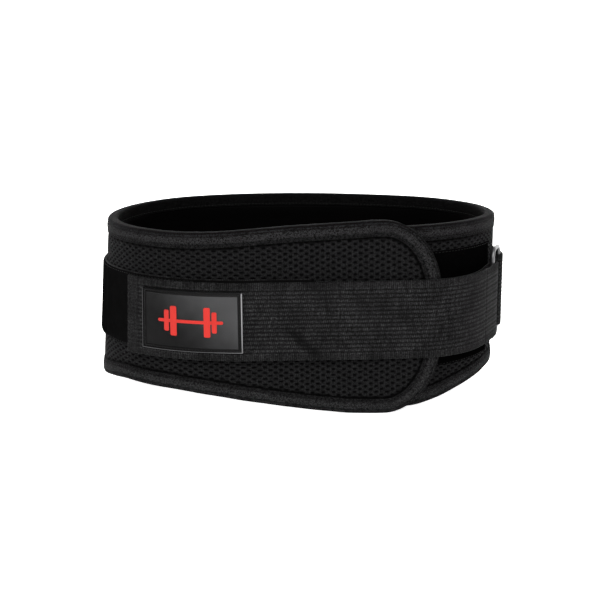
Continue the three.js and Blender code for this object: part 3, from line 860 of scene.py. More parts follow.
class Paint(NodeBuilder):
    """A material and short ways to mix its colour and grain."""

    def __init__(self, name, colour, roughness, specular, metallic=0.0):
        self.material = bpy.data.materials.new(name)
        self.material.use_nodes = True
        super().__init__(self.material.node_tree)
        self.shader = next(node for node in self.tree.nodes if node.type == "BSDF_PRINCIPLED").inputs
        self.shader["Base Color"].default_value = (*colour, 1)
        self.shader["Roughness"].default_value = roughness
        self.shader["Specular IOR Level"].default_value = specular
        self.shader["Metallic"].default_value = metallic
        self.colour = colour
        self.mixed = None

    def cloth(self):
        """Distance along the cloth, distance up it, depth off it, and all three, in millimetres."""
        vector = self.node("ShaderNodeAttribute", {"attribute_name": "cloth"}).outputs["Vector"]
        along, up, relief = self.node("ShaderNodeSeparateXYZ", Vector=vector).outputs
        return along, up, relief, vector

    def object_vector(self):
        return self.node("ShaderNodeTexCoord").outputs["Object"]

    def wave(self, position, pitch, phase=0.0):
        """A sine along a position, from 0 to 1, with a pitch in millimetres."""
        angle = self.math("MULTIPLY_ADD", position, 2 * math.pi / pitch, phase)
        return self.math("MULTIPLY_ADD", self.math("SINE", angle), 0.5, 0.5)

    def noise(self, vector, scale, detail=2.0, roughness=0.5):
        return self.result(
            "ShaderNodeTexNoise", Vector=vector, Scale=scale, Detail=detail, Roughness=roughness
        )

    def stretched(self, vector, scale):
        return self.result("ShaderNodeMapping", Vector=vector, Scale=scale)

    def ramp(self, value, low, high):
        """A soft step of a value from low to high."""
        smooth = {"interpolation_type": "SMOOTHSTEP"}
        return self.result("ShaderNodeMapRange", smooth, Value=value, From_Min=low, From_Max=high)

    def mix(self, blend, factor, first, second):
        mix = self.node("ShaderNodeMix", {"data_type": "RGBA", "blend_type": blend})
        for number, value in ((0, factor), (6, first), (7, second)):
            self.feed(mix.inputs[number], value)
        self.mixed = mix.outputs[2]

    def shade(self, value, dark, light):
        """Starts the colour: the material's own, times dark where value is 0 and light where it is 1."""
        ends = [(*[channel * factor for channel in self.colour], 1) for factor in (dark, light)]
        self.mix("MIX", value, *ends)

    def tint(self, value, dark, light):
        """Dims or lifts the colour so far: times dark where value is 0 and light where it is 1."""
        factor = self.math("MULTIPLY_ADD", value, light - dark, dark)
        grey = self.result("ShaderNodeCombineColor", Red=factor, Green=factor, Blue=factor)
        self.mix("MULTIPLY", 1, self.mixed, grey)

    def bump(self, height, strength, depth):
        """Bump of a height from 0 to 1, over its real depth in metres."""
        node = self.node("ShaderNodeBump", Height=height, Strength=strength, Distance=depth)
        normal = self.shader["Normal"]
        if normal.is_linked:
            self.feed(node.inputs["Normal"], normal.links[0].from_socket)
        self.feed(normal, node.outputs[0])

    def done(self):
        self.feed(self.shader["Base Color"], self.mixed)
        return self.material


def mesh_paint(colour):
    """Knitted spacer mesh: dull yarn, with painted shade that makes it nearly black down in the holes."""
    paint = Paint("knitted_mesh", colour, roughness=0.8, specular=0.03)
    along, up, relief, vector = paint.cloth()
    yarn = paint.noise(vector, scale=1.05, detail=3, roughness=0.6)
    # Painted shade: the yarn darkens down the walls of each hole and is nearly black on its floor.
    paint.shade(paint.ramp(relief, -0.62, -0.02), dark=0.03, light=1.55)
    paint.tint(paint.ramp(yarn, 0.34, 0.68), dark=0.2, light=1.95)
    paint.tint(paint.noise(vector, scale=0.13), dark=0.7, light=1.3)
    knit = paint.math("MULTIPLY", paint.wave(along, pitch=1.075), paint.wave(up, pitch=0.8))
    paint.bump(knit, strength=0.5, depth=0.00022)
    paint.bump(yarn, strength=0.6, depth=0.0004)
    return paint.done()


def lining_paint(colour):
    """The smooth jersey on the inside of the neoprene."""
    paint = Paint("smooth_jersey", colour, roughness=0.42, specular=0.004)
    along, up, _, vector = paint.cloth()
    cloud = paint.noise(vector, scale=0.02, detail=3)
    paint.shade(cloud, dark=0.7, light=1.35)
    paint.tint(paint.noise(vector, scale=1.6), dark=0.85, light=1.15)
    knit = paint.math("MULTIPLY", paint.wave(along, pitch=0.9), paint.wave(up, pitch=0.7))
    paint.bump(knit, strength=0.3, depth=0.0001)
    paint.bump(cloud, strength=0.25, depth=0.0008)
    return paint.done()


def binding_paint(colour):
    """Twill tape: slanting ridges and grain, with painted shade where it dips and inside the belt."""
    paint = Paint("twill_tape", colour, roughness=0.7, specular=0.01)
    along, up, relief, vector = paint.cloth()
    twill = paint.wave(paint.math("MULTIPLY_ADD", up, 0.8, along), pitch=1.5)
    grain = paint.noise(vector, scale=0.88, detail=3, roughness=0.68)
    paint.shade(twill, dark=0.75, light=1.25)
    paint.tint(paint.ramp(grain, 0.37, 0.64), dark=0.2, light=1.95)
    paint.tint(paint.noise(vector, scale=0.09, detail=3), dark=0.7, light=1.3)
    # Painted shade, deepest over the fold and on the inner arm inside the belt, and in the seam dips; the
    # raised outer face is lightened.
    paint.tint(paint.ramp(relief, 0.2, 0.95), dark=0.35, light=1.3)
    paint.tint(paint.ramp(relief, -5.5, -0.8), dark=0.8, light=1.3)
    paint.bump(paint.math("MULTIPLY", twill, paint.wave(up, pitch=0.75)), strength=0.6, depth=0.0003)
    paint.bump(grain, strength=0.5, depth=0.0004)
    return paint.done()


def webbing_paint(settings):
    """Ribbed webbing: light threads over the ribs, corded borders, a plain hem and painted shade on the
    creases.
    """
    paint = Paint("ribbed_webbing", settings.webbing_colour, roughness=0.6, specular=0.02)
    along, up, relief, vector = paint.cloth()
    crest = math.pi / 2
    border = settings.rib_count * settings.rib_pitch / 2
    outside = paint.ramp(paint.math("ABSOLUTE", up), border - 0.6, border + 0.6)
    hem = paint.ramp(along, STRAP_HEM + 1, STRAP_HEM - 1)
    outside = paint.math("MAXIMUM", outside, paint.math("MULTIPLY", hem, 0.85))
    rib = paint.wave(up, settings.rib_pitch, crest)
    thread = paint.wave(along, settings.thread_pitch, crest)
    rib_number = paint.math("FLOOR", paint.math("MULTIPLY_ADD", up, 1 / settings.rib_pitch, 0.5))
    staggered = paint.math("MULTIPLY_ADD", rib_number, settings.thread_pitch / 2, along)
    bead = paint.wave(staggered, settings.thread_pitch, crest)
    ribbed = paint.math("MULTIPLY", paint.math("MULTIPLY_ADD", rib, 0.35, 0.25), bead)
    ribbed = paint.math("MULTIPLY_ADD", paint.ramp(rib, 0.0, 0.75), 0.3, ribbed)
    corded = paint.math("MULTIPLY", outside, paint.math("MULTIPLY_ADD", thread, 0.42, 0.12))
    weave = paint.math("MULTIPLY_ADD", ribbed, paint.math("SUBTRACT", 1, outside), corded)
    grain = paint.noise(vector, scale=0.9, detail=3, roughness=0.65)
    streak = paint.noise(paint.stretched(vector, (0.55, 0.05, 0)), scale=1.0)
    broad = paint.noise(vector, scale=0.045, detail=3)
    paint.shade(weave, dark=0.16, light=2.4)
    paint.tint(paint.ramp(grain, 0.35, 0.67), dark=0.3, light=1.72)
    paint.tint(paint.ramp(streak, 0.3, 0.7), dark=0.72, light=1.22)
    paint.tint(paint.ramp(broad, 0.3, 0.7), dark=0.75, light=1.25)
    face = STRAP_THICKNESS / 2
    # Painted shade on the creases: the webbing darkens where a crease lifts its face.
    paint.tint(paint.ramp(relief, face + 0.1, face + 1.1), dark=1.0, light=0.4)
    paint.bump(thread, strength=0.45, depth=0.00025)
    paint.bump(grain, strength=0.5, depth=0.0004)
    return paint.done()


def velvet_paint(name, colour):
    """Looped velvet: almost black, with a patchy pile."""
    paint = Paint(name, colour, roughness=0.92, specular=0.0)
    *_, vector = paint.cloth()
    pile = paint.noise(vector, scale=1.4, detail=3, roughness=0.7)
    paint.shade(pile, dark=0.5, light=1.6)
    paint.tint(paint.noise(vector, scale=0.12, detail=3), dark=0.7, light=1.3)
    paint.bump(pile, strength=0.6, depth=0.0005)
    return paint.done()


def thread_paint(name, colour, roughness):
    """Sewing thread and hook nylon."""
    paint = Paint(name, colour, roughness, specular=0.06)
    fibre = paint.noise(paint.object_vector(), scale=2600)
    paint.shade(fibre, dark=0.7, light=1.35)
    paint.bump(fibre, strength=0.4, depth=0.00012)
    return paint.done()


def steel_paint(colour, roughness):
    """Dark satin steel wire, with fine draw marks and a few dull spots."""
    paint = Paint("satin_steel", colour, roughness, specular=0.5, metallic=1.0)
    vector = paint.object_vector()
    marks = paint.noise(paint.stretched(vector, (1, 1, 0.06)), scale=2400, detail=3)
    spots = paint.noise(vector, scale=160, detail=3)
    paint.shade(marks, dark=0.8, light=1.15)
    paint.tint(spots, dark=0.8, light=1.15)
    paint.feed(paint.shader["Roughness"], paint.math("MULTIPLY_ADD", spots, 0.22, roughness - 0.1))
    paint.bump(marks, strength=0.2, depth=0.00004)
    return paint.done()


def motif_paint(colour):
    """Moulded rubber with a very fine grain."""
    roughness = 0.45
    paint = Paint("motif_rubber", colour, roughness, specular=0.12)
    vector = paint.object_vector()
    grain = paint.noise(vector, scale=1500)
    cloud = paint.noise(vector, scale=30)
    paint.shade(cloud, dark=0.85, light=1.18)
    paint.tint(grain, dark=0.9, light=1.1)
    paint.feed(paint.shader["Roughness"], paint.math("MULTIPLY_ADD", cloud, 0.12, roughness - 0.06))
    paint.bump(grain, strength=0.25, depth=0.00006)
    return paint.done()


def label_paint(colour):
    """The label's rubber: a satin field with a painted sheen that lightens it to the right and up, a rim
    darkened with painted shade, and a grey cut edge lightened with a painted highlight on its sides and
    bottom.
    """
    paint = Paint("label_rubber", colour, roughness=0.36, specular=0.05)
    along, up, _, vector = paint.cloth()
    # Painted sheen: a reflection that lightens the field to the right and towards the top.
    beside = paint.math("SUBTRACT", along, LABEL_MIDDLE)
    across = paint.math("MULTIPLY_ADD", beside, 0.85 / LABEL_WIDTH, 0.26)
    painted_sheen = paint.math("ADD", across, paint.math("MULTIPLY_ADD", up, 0.5 / LABEL_HEIGHT, 0.05))
    painted_sheen = paint.math("MULTIPLY_ADD", paint.noise(vector, scale=0.05), 0.35, painted_sheen)
    side = paint.math("SUBTRACT", paint.math("ABSOLUTE", beside), LABEL_WIDTH / 2)
    top = paint.math("SUBTRACT", paint.math("ABSOLUTE", up), LABEL_HEIGHT / 2)
    past_edge = paint.math("MAXIMUM", side, top)
    # Painted shade over the rim and its sewing groove.
    rim = paint.ramp(past_edge, -LABEL_RIM_WIDTH - 0.6, -LABEL_RIM_WIDTH - 0.1)
    # Painted highlight along the cut edge, left off its top edge, where the light does not fall.
    upper_edge = paint.ramp(up, LABEL_HEIGHT / 2 - 0.9, LABEL_HEIGHT / 2 - 0.6)
    cut = paint.math("SUBTRACT", paint.ramp(past_edge, -0.75, -0.4), upper_edge)
    cut = paint.math("MAXIMUM", cut, 0)
    lit = paint.math("MAXIMUM", paint.ramp(painted_sheen, 0.2, 1.05), paint.math("MULTIPLY", cut, 0.16))
    grain = paint.noise(vector, scale=1.5)
    # The painted sheen and the painted edge highlight set the field's colour.
    paint.shade(lit, dark=0.6, light=8)
    paint.tint(rim, dark=1.0, light=0.1)
    paint.tint(cut, dark=1.0, light=60.0)
    paint.tint(grain, dark=0.9, light=1.1)
    paint.bump(grain, strength=0.25, depth=0.00006)
    return paint.done()


def floor_paint(colour):
    """Matt studio paper that glows a little, as on a light table, which keeps it free of grey shadows."""
    paint = Paint("studio_paper", colour, roughness=0.9, specular=0.1)
    paint.shader["Emission Color"].default_value = (1, 1, 1, 1)
    paint.shader["Emission Strength"].default_value = PAPER_GLOW
    paint.shade(paint.noise(paint.object_vector(), scale=3), dark=0.995, light=1.005)
    return paint.done()


# Settings


def colour_setting(name, description, default):
    return bpy.props.FloatVectorProperty(
        name=name, description=description, subtype="COLOR", size=3, min=0, max=1, default=default
    )


def length_setting(name, description, default):
    """A length in millimetres. Blender's own length unit would read it as metres, so it stays plain."""
    description += ", in millimetres"
    return bpy.props.FloatProperty(name=name, description=description, min=0, default=default)


def strength_setting(name, description, default):
    return bpy.props.FloatProperty(name=name, description=description, min=0, default=default)


class BeltPanelSettings(bpy.types.PropertyGroup):
    hole_pitch: length_setting("Hole pitch", "Distance between two holes in a row of the mesh", 8.6)
    row_pitch: length_setting("Row pitch", "Distance between two rows of holes", 2.42)
    hole_width: length_setting("Hole width", "Width of a hole in the mesh", 3.15)
    hole_height: length_setting("Hole height", "Height of a hole in the mesh", 2.1)
    hole_depth: length_setting("Hole depth", "Depth of a hole in the mesh", 1.1)
    mesh_colour: colour_setting("Mesh colour", "Colour of the knitted mesh", (0.0031, 0.0031, 0.0032))
    lining_colour: colour_setting("Lining colour", "Colour of the inner jersey", (0.0005, 0.0005, 0.0005))
    binding_colour: colour_setting("Binding colour", "Colour of the edge tape", (0.0053, 0.0053, 0.0054))


class BeltWebbingSettings(bpy.types.PropertyGroup):
    rib_pitch: length_setting("Rib pitch", "Distance between two ribs of the webbing", 3.35)
    rib_count: bpy.props.IntProperty(
        name="Ribs", description="Number of ribs across the webbing", min=3, max=31, default=16
    )
    rib_height: length_setting("Rib height", "How far a rib stands up", 0.42)
    thread_pitch: length_setting("Thread pitch", "Distance between two cross threads", 1.5)
    webbing_colour: colour_setting("Webbing colour", "Colour of strap and band", (0.0066, 0.0066, 0.0067))
    velvet_colour: colour_setting("Velvet colour", "Colour of the loop velvet", (0.0019, 0.0019, 0.0019))
    # The tucked velvet is darker than the strip's: painted shade for the shadow it lies in under the flap's
    # end.
    shaded_patch_colour: colour_setting("Patch colour", "Colour of the tucked velvet", (0.0007, 0.0007, 0.0007))
    hook_colour: colour_setting("Hook colour", "Colour of the hook tape", (0.004, 0.004, 0.004))


class BeltStitchSettings(bpy.types.PropertyGroup):
    spacing: length_setting("Stitch spacing", "Distance from one stitch to the next", 3.3)
    length: length_setting("Stitch length", "Length of one stitch", 2.5)
    thread_radius: length_setting("Thread radius", "Half the thickness of the thread", 0.32)
    thread_colour: colour_setting("Thread colour", "Colour of the sewing thread", (0.0045, 0.0045, 0.0045))


class BeltTrimSettings(bpy.types.PropertyGroup):
    steel_colour: colour_setting("Ring colour", "Colour of the ring's steel", (0.11, 0.11, 0.112))
    steel_roughness: bpy.props.FloatProperty(
        name="Ring roughness",
        description="How dull the ring's steel is",
        min=0,
        max=1,
        subtype="FACTOR",
        default=0.42,
    )
    label_colour: colour_setting("Label colour", "Colour of the rubber label", (0.0042, 0.0042, 0.0043))
    motif_colour: colour_setting("Motif colour", "Colour of the barbell on the label", (0.3, 0.014, 0.01))


class BeltStudioSettings(bpy.types.PropertyGroup):
    floor_colour: colour_setting("Floor colour", "Colour of the studio paper", (0.93, 0.93, 0.93))
    sky_strength: strength_setting("Sky", "Strength of the even light", 0.6)
    key_strength: strength_setting("Key light", "Strength of the light from the front right", 3.2)
    fill_strength: strength_setting("Fill light", "Strength of the light from the front left", 1.35)


# Pieces of the padded body


def lining_relief(place, height, ring):
    """Soft hollows of the inner face, and puckers beside the binding. The outer face lies flat."""
    if ring == 0:
        return 0 * place
    edge = np.minimum(top_edge(place) - height, height - bottom_edge(place))
    beside = smoothstep(edge, 26, 13)
    pucker = 0.16 * (1 + np.sin(place * 0.9 + np.sin(place * 0.13))) * beside
    swell = 0.22 * (1 + np.sin(place / 19 + height / 31) * np.sin(height / 17 - place / 47))
    return pucker + swell


def build_lining(settings):
    outer = -MESH_THICKNESS - GAP
    inner = outer - CORE_THICKNESS
    profile = (
        # inset, off
        (1.6, outer),
        (1.6, inner + 2.3),
        (2.2, inner + 1.2),
        (3.1, inner + TAPE_SUNK),
        (TAPE_INNER_WIDTH + 0.7, inner + TAPE_SUNK),
        (TAPE_INNER_WIDTH + 1.2, inner + 0.3),
        (TAPE_INNER_WIDTH + 1.9, inner),
    )
    paint = lining_paint(settings.lining_colour)
    mesh = body_panel("lining", Outline(step=2.6), profile, 14, lining_relief, paint)
    piece = add_piece("lining", [mesh], "neoprene", "core_panel")


def mesh_cell(settings):
    """One cell of the net, flat: a hole inside the hexagon of yarn that it shares with its neighbours."""
    half, row = settings.hole_pitch / 2, settings.row_pitch
    reach = (half**2 + row**2) / 2 / half
    shoulder = reach - row**2 / half
    border = ((reach, 0), (shoulder, row), (-shoulder, row))
    points = [(x, y, 0.0) for x, y in border] + [(-x, -y, 0.0) for x, y in border]
    for scale, depth in HOLE_RINGS:
        for angle in np.radians(HOLE_CORNERS):
            x = settings.hole_width / 2 * scale * math.cos(angle)
            y = settings.hole_height / 2 * scale * math.sin(angle)
            points.append((x, y, -depth * settings.hole_depth))
    index = numbered(3, len(HOLE_CORNERS))
    faces = grid_faces(index, close_columns=True) + [index[-1].tolist()]
    mesh = bpy.data.meshes.new("mesh_cell")
    mesh.from_pydata(points, [], faces)
    local = mesh.attributes.new("local", "FLOAT_VECTOR", "POINT")
    local.data.foreach_set("vector", np.array(points, np.float32).ravel())
    return new_object("mesh_cell", mesh)


def inset_of(outline, place, height):
    """How far inside the body's outline each flat point lies."""
    rows = np.concatenate([outline.upper, outline.lower])
    tree = KDTree(len(rows))
    for i, row in enumerate(rows):
        tree.insert((row[0], row[1], 0), i)
    tree.balance()
    nearest = np.array([tree.find((x, y, 0))[1] for x, y in zip(place, height)])
    row = rows[nearest]
    return (place - row[:, 0]) * row[:, 2] + (height - row[:, 1]) * row[:, 3]


def lay_cells(field):
    """Lays the flat field over the flat body, stretches its holes and sinks it under the binding."""
    local = np.empty(len(field.vertices) * 3, np.float32)
    field.attributes["local"].data.foreach_get("vector", local)
    field.attributes.remove(field.attributes["local"])
    local = local.reshape(-1, 3)
    centre = flat_points(field) - local
    centre[:, 0] += (FLAP_END + HIDDEN_END) / 2
    pulled = smoothstep(centre[:, 0], *PULLED_FROM) * (local[:, 2] < 0)
    place = centre[:, 0] + local[:, 0] * (1 + PULLED_LONGER * pulled)
    height = centre[:, 1] + local[:, 1] * (1 - PULLED_LOWER * pulled)
    inset = inset_of(Outline(step=1.0, corner_steps=60), place, height)
    in_field = smoothstep(inset, TAPE_OUTER_WIDTH - 1.5, TAPE_OUTER_WIDTH + 1.5)
    step_down = 1 - smoothstep(inset, TAPE_OUTER_WIDTH + 0.4, TAPE_OUTER_WIDTH + 2.2)
    off = local[:, 2] * in_field - TAPE_SUNK * step_down
    place_points(field, np.column_stack([place, height, off]))
    return inset


def trim_cells(field, inset):
    """Cuts the flat field a little inside the body's outline and turns its border down to the backing."""
    shape = bmesh.new()
    shape.from_mesh(field)
    shape.verts.ensure_lookup_table()
    outside = [shape.verts[i] for i in np.flatnonzero(inset < MESH_TUCKED)]
    bmesh.ops.delete(shape, geom=outside, context="VERTS")
    bmesh.ops.remove_doubles(shape, verts=shape.verts, dist=0.02)
    border = [edge for edge in shape.edges if edge.is_boundary]
    skirt = bmesh.ops.extrude_edge_only(shape, edges=border)
    for vert in skirt["geom"]:
        if isinstance(vert, bmesh.types.BMVert):
            vert.co.z = MESH_BACKING - 0.15
    shape.to_mesh(field)
    shape.free()


def flat_face(place, height, ring):
    return 0 * place


def build_mesh_fabric(settings):
    """The knitted spacer mesh: a field of dimples on a closed backing."""
    paint = mesh_paint(settings.mesh_colour)
    columns = int((FLAP_END - HIDDEN_END) / settings.hole_pitch) + 2
    rows = int(2 * STRAP_LEVEL / settings.row_pitch) + 2
    pitches = settings.hole_pitch, settings.row_pitch
    field = repeat_cell("mesh_field", mesh_cell(settings), columns, rows, *pitches, paint)
    trim_cells(field, lay_cells(field))
    flat = flat_points(field).T
    place_points(field, to_frame(on_body(*flat)))
    write_cloth(field, *flat)
    smooth_faces(field)
    backing_profile = (
        # inset, off
        (TAPE_OUTER_WIDTH + 1.9, MESH_BACKING),
        (2.9, MESH_BACKING),
        (2.9, -MESH_THICKNESS),
    )
    outline = Outline(step=6.0, corner_steps=10)
    backing = body_panel("mesh_backing", outline, backing_profile, 3, flat_face, paint)
    add_piece("spacer_mesh", [field, backing], "spacer_mesh", "mesh_face")


# Binding tape


def tape_path(outline_row, side):
    """The outline's row with a straight stretch at each end, halfway up the rounded end of the panel."""
    ends = []
    for corner in (outline_row[0], outline_row[-1]):
        heights = np.linspace(side * GAP / 2, corner[1], 12, endpoint=False)
        straight = np.tile(corner, (len(heights), 1))
        straight[:, 1] = heights
        straight[:, 2] = np.sign(corner[2])
        straight[:, 3] = 0
        ends.append(straight)
    return np.concatenate([ends[0], outline_row, ends[1][::-1]])


def tape_section():
    """The tape's U, from the edge of its outer arm round the fold to its inner arm and back inside."""
    outer = TAPE_PROUD
    inner = TAPE_INNER_FACE
    bend = 2.5
    roll = 2.6
    back = bend + 0.45
    angle = np.linspace(0, math.pi / 2, 7)
    points = [
        # inset, off, groove
        (TAPE_OUTER_WIDTH, outer - 0.75, 0),
        (TAPE_OUTER_WIDTH + 0.05, outer - 0.3, 0),
        (TAPE_OUTER_WIDTH - 0.35, outer - 0.02, 0),
        (TAPE_OUTER_WIDTH - 1.0, outer + 0.04, 0.4),
        (OUTER_SEAM + 0.45, outer - 0.04, 1),
        (OUTER_SEAM, outer - 0.1, 1),
        (OUTER_SEAM - 0.6, outer - 0.02, 0.8),
        (OUTER_SEAM - 1.6, outer + 0.2, 0.3),
        (7.8, outer + 0.42, 0),
        (6.4, outer + 0.5, 0),
        (5.0, outer + 0.42, 0),
        (4.0, outer + 0.2, 0),
        (3.3, outer - 0.1, 0),
        (2.9, outer - 0.12, 0),
    ]
    points += [(roll * (1 - math.sin(a)), outer + 0.16 - bend * (1 - math.cos(a)), 0) for a in angle]
    points += [(roll * (1 - math.cos(a)), inner + bend * (1 - math.sin(a)), 0) for a in angle]
    points += [
        (4.6, inner - 0.06, 0),
        (6.8, inner - 0.05, 0),
        (INNER_SEAM - 0.8, inner + 0.05, 0.6),
        (INNER_SEAM, inner + 0.14, 1),
        (INNER_SEAM + 0.8, inner + 0.05, 0.6),
        (TAPE_INNER_WIDTH - 0.25, inner + 0.05, 0),
        (TAPE_INNER_WIDTH, inner + 0.4, 0),
        (TAPE_INNER_WIDTH, inner + TAPE_THICKNESS, 0),
        (2.45, inner + TAPE_THICKNESS, 0),
        (TAPE_THICKNESS, inner + back, 0),
        (TAPE_THICKNESS, outer - back, 0),
        (2.45, outer - TAPE_THICKNESS, 0),
        (TAPE_OUTER_WIDTH - 0.6, outer - TAPE_THICKNESS, 0),
    ]
    return np.array(points)


def binding_mesh(name, row, side, spacing, paint):
    """The tape folded over one edge, with a dimple at each stitch and slight lumps between the seams."""
    path = tape_path(row, side)
    section = tape_section()
    inset, off, groove = section.T[:, None]
    place = path[:, 0:1] + path[:, 2:3] * inset
    height = path[:, 1:2] + path[:, 3:4] * inset
    middle = on_body(path[:, 0], path[:, 1], 0)
    steps = np.linalg.norm(np.diff(middle, axis=0), axis=1)
    run = np.concatenate([[0], np.cumsum(steps)])[:, None]
    tight = 0.5 + 0.5 * np.cos(2 * math.pi * run / spacing)
    lumps = np.sin(run / 4.3 + 1.7 * np.sin(run / 11.0)) * np.sin(run / 17.0)
    outwards = np.where(off < -MESH_THICKNESS, -1, 1)
    swell = np.where((inset > 2) & (groove == 0), 0.06 * lumps, 0)
    depth = off + outwards * (swell - 0.3 * groove * tight**2)
    around = np.cumsum(np.hypot(*np.diff(section[:, :2], axis=0, prepend=section[:1, :2]).T))
    return tube_mesh(name, on_body(place, height, depth), (run, around[None, :], depth), paint, sharp=60)


def build_binding(settings, stitches):
    outline = Outline(step=1.1, corner_steps=44)
    paint = binding_paint(settings.binding_colour)
    lines = []
    for name, row, side in (("upper", outline.upper, 1), ("lower", outline.lower, -1)):
        mesh = binding_mesh(name + "_binding", row, side, stitches.spacing, paint)
        add_piece(name + "_binding", [mesh], "edge_tape", name + "_edge_tape")
        seams = (OUTER_SEAM, TAPE_PROUD - THREAD_SUNK), (INNER_SEAM, TAPE_INNER_FACE + THREAD_SUNK)
        for inset, off in seams:
            lines.append((Line(on_body, *Outline.at(row, inset), off), stitches.spacing))
    sew("binding_stitches", "edge_tape", lines, stitches, "sewing_thread")


# Stitches


def sew(name, slot, lines, stitches, paint_name):
    """A piece of sewing: a row of stitches along each line, with the spacing that stands beside it."""
    paint = thread_paint(paint_name, stitches.thread_colour, 0.7)
    tree = stitch_tree()
    rows = []
    for line, spacing in lines:
        count = max(int(line.length / spacing), 1)
        values = {
            "Count": count,
            "Spacing": spacing,
            "Start": (line.length - (count - 1) * spacing) / 2,
            "Stitch Length": stitches.length * spacing / stitches.spacing,
            "Thread Radius": stitches.thread_radius,
            "Thread Sides": 6,
            "Material": paint,
        }
        row = plain_mesh(tree, "seam", values)
        place_points(row, to_frame(line.lay(flat_points(row))))
        smooth_faces(row)
        rows.append(row)
    add_piece(name, rows, slot)


def straight_line(surface, start, end, height, off):
    """A level line on a surface, with a point about every millimetre."""
    return Line(surface, np.linspace(start, end, max(int(abs(end - start)), 2) + 1), height, off)


def upright_line(surface, s, low, high, off):
    """A line up a surface, with a point about every millimetre."""
    return Line(surface, s, np.linspace(low, high, max(int(high - low), 2) + 1), off)


def frame_lines(surface, start, end, low, high, off):
    """The four lines of a sewn rectangle."""
    return [
        straight_line(surface, start, end, low, off),
        straight_line(surface, start, end, high, off),
        upright_line(surface, start, low, high, off),
        upright_line(surface, end, low, high, off),
    ]


# Webbing, velvet and hooks


def rib_heights(middle, width, settings):
    """Heights across a webbing: plain borders, and four points to each rib between them."""
    half = settings.rib_count * settings.rib_pitch / 2
    ribs = middle + np.linspace(-half, half, settings.rib_count * 4 + 1)
    border = np.array([0, 0.35, 0.9, (width / 2 - half) * 0.55])
    return np.concatenate([middle - width / 2 + border, ribs, middle + width / 2 - border[::-1]])


def rib_relief(s, h, middle, settings, beaded):
    """How far the webbing's face stands up from its deepest line: ribs, and corded borders."""
    half = settings.rib_count * settings.rib_pitch / 2
    ribs_up = (h - middle + half) / settings.rib_pitch
    rib = np.sqrt(np.abs(np.sin(ribs_up * math.pi)) + 1e-9)
    turn = 2 * math.pi * s / settings.thread_pitch
    bead = 0.75 + 0.25 * np.cos(turn + math.pi * np.floor(ribs_up)) if beaded else 0.75
    cord = 0.6 + 0.3 * np.cos(turn) if beaded else 0.6
    return settings.rib_height * (np.where(np.abs(h - middle) < half - 0.01, bead * rib, cord) - 1)


def round_edge(h, low, high, reach=0.8):
    """0 in the open cloth and 1 at its edges, as a quarter circle."""
    share = np.clip(1 - np.minimum(h - low, high - h) / reach, 0, 1)
    return 1 - np.sqrt(1 - share**2 + 1e-9)


def strap_creases(place, h):
    """Slack in the strap, as long soft ridges."""
    total = 0
    for middle, level, slope, width, reach, depth in STRAP_CREASES:
        across = (h - level) - slope * (place - middle)
        along = (place - middle) + slope * (h - level)
        total = total + depth * np.exp(-((across / width) ** 2) - (along / reach) ** 2)
    return total


def build_pull_webbing(settings, paint):
    """The pull strap: ribbed face, plain back, folded hem at its tip, creases and bends."""
    low, high = -STRAP_WIDTH / 2, STRAP_WIDTH / 2
    stations = np.arange(0, STRAP_ROUTE.length, settings.thread_pitch / 2)
    half = STRAP_THICKNESS / 2
    body_run = STRAP_ROUTE.body_run

    def creases(s, h):
        place = STRAP_TIP + s * (STRAP_LEAVES - STRAP_TIP) / body_run
        return strap_creases(place, h) * (s < body_run)

    def front(s, h):
        relief = rib_relief(s, h, 0, settings, beaded=True)
        edge = 0.7 * round_edge(h, low, high)
        tip = 0.8 * round_edge(s, 0, 2 * STRAP_ROUTE.length)
        hem = 0.42 * (1 - smoothstep(s, STRAP_HEM - 0.8, STRAP_HEM + 0.3))
        seam = 0.3 * hump(s, STRAP_HEM_SEAM, 0.7) * (0.6 + 0.4 * np.cos(2 * math.pi * h / FINE_SPACING))
        bends = sum(0.34 * hump(s, body_run + at, 0.9) for at in STRAP_BENDS)
        return half + relief + hem - seam - bends + creases(s, h) - edge - tip

    def back(s, h):
        return -half + 0.25 * round_edge(h, low, high) + 0.6 * creases(s, h)

    heights = rib_heights(0, STRAP_WIDTH, settings)
    mesh = sweep("pull_webbing", STRAP_ROUTE.point, stations, heights, front, back, paint)
    add_piece("pull_webbing", [mesh], "webbing", "pull_strap")


def build_waist_webbing(settings, paint):
    """The waist band: ribbed on both faces, and coarser than the strap, because little of it shows."""
    low, high = BAND_ROUTE.low, BAND_ROUTE.high
    middle = (low + high) / 2
    step = BAND_COARSER * settings.thread_pitch
    stations = np.append(np.arange(0, BAND_ROUTE.length - 1, step), BAND_ROUTE.length)

    def front(s, h):
        relief = rib_relief(s, h, middle, settings, beaded=False)
        return BAND_THICKNESS / 2 + relief - 0.6 * round_edge(h, low, high)

    def back(s, h):
        return -front(s, h)

    heights = rib_heights(middle, BAND_WIDTH, settings)
    faces = front, back, paint
    mesh = sweep("waist_webbing", BAND_ROUTE.point, stations, heights, *faces, level=middle, full_back=True)
    add_piece("waist_webbing", [mesh], "webbing", "waist_band")


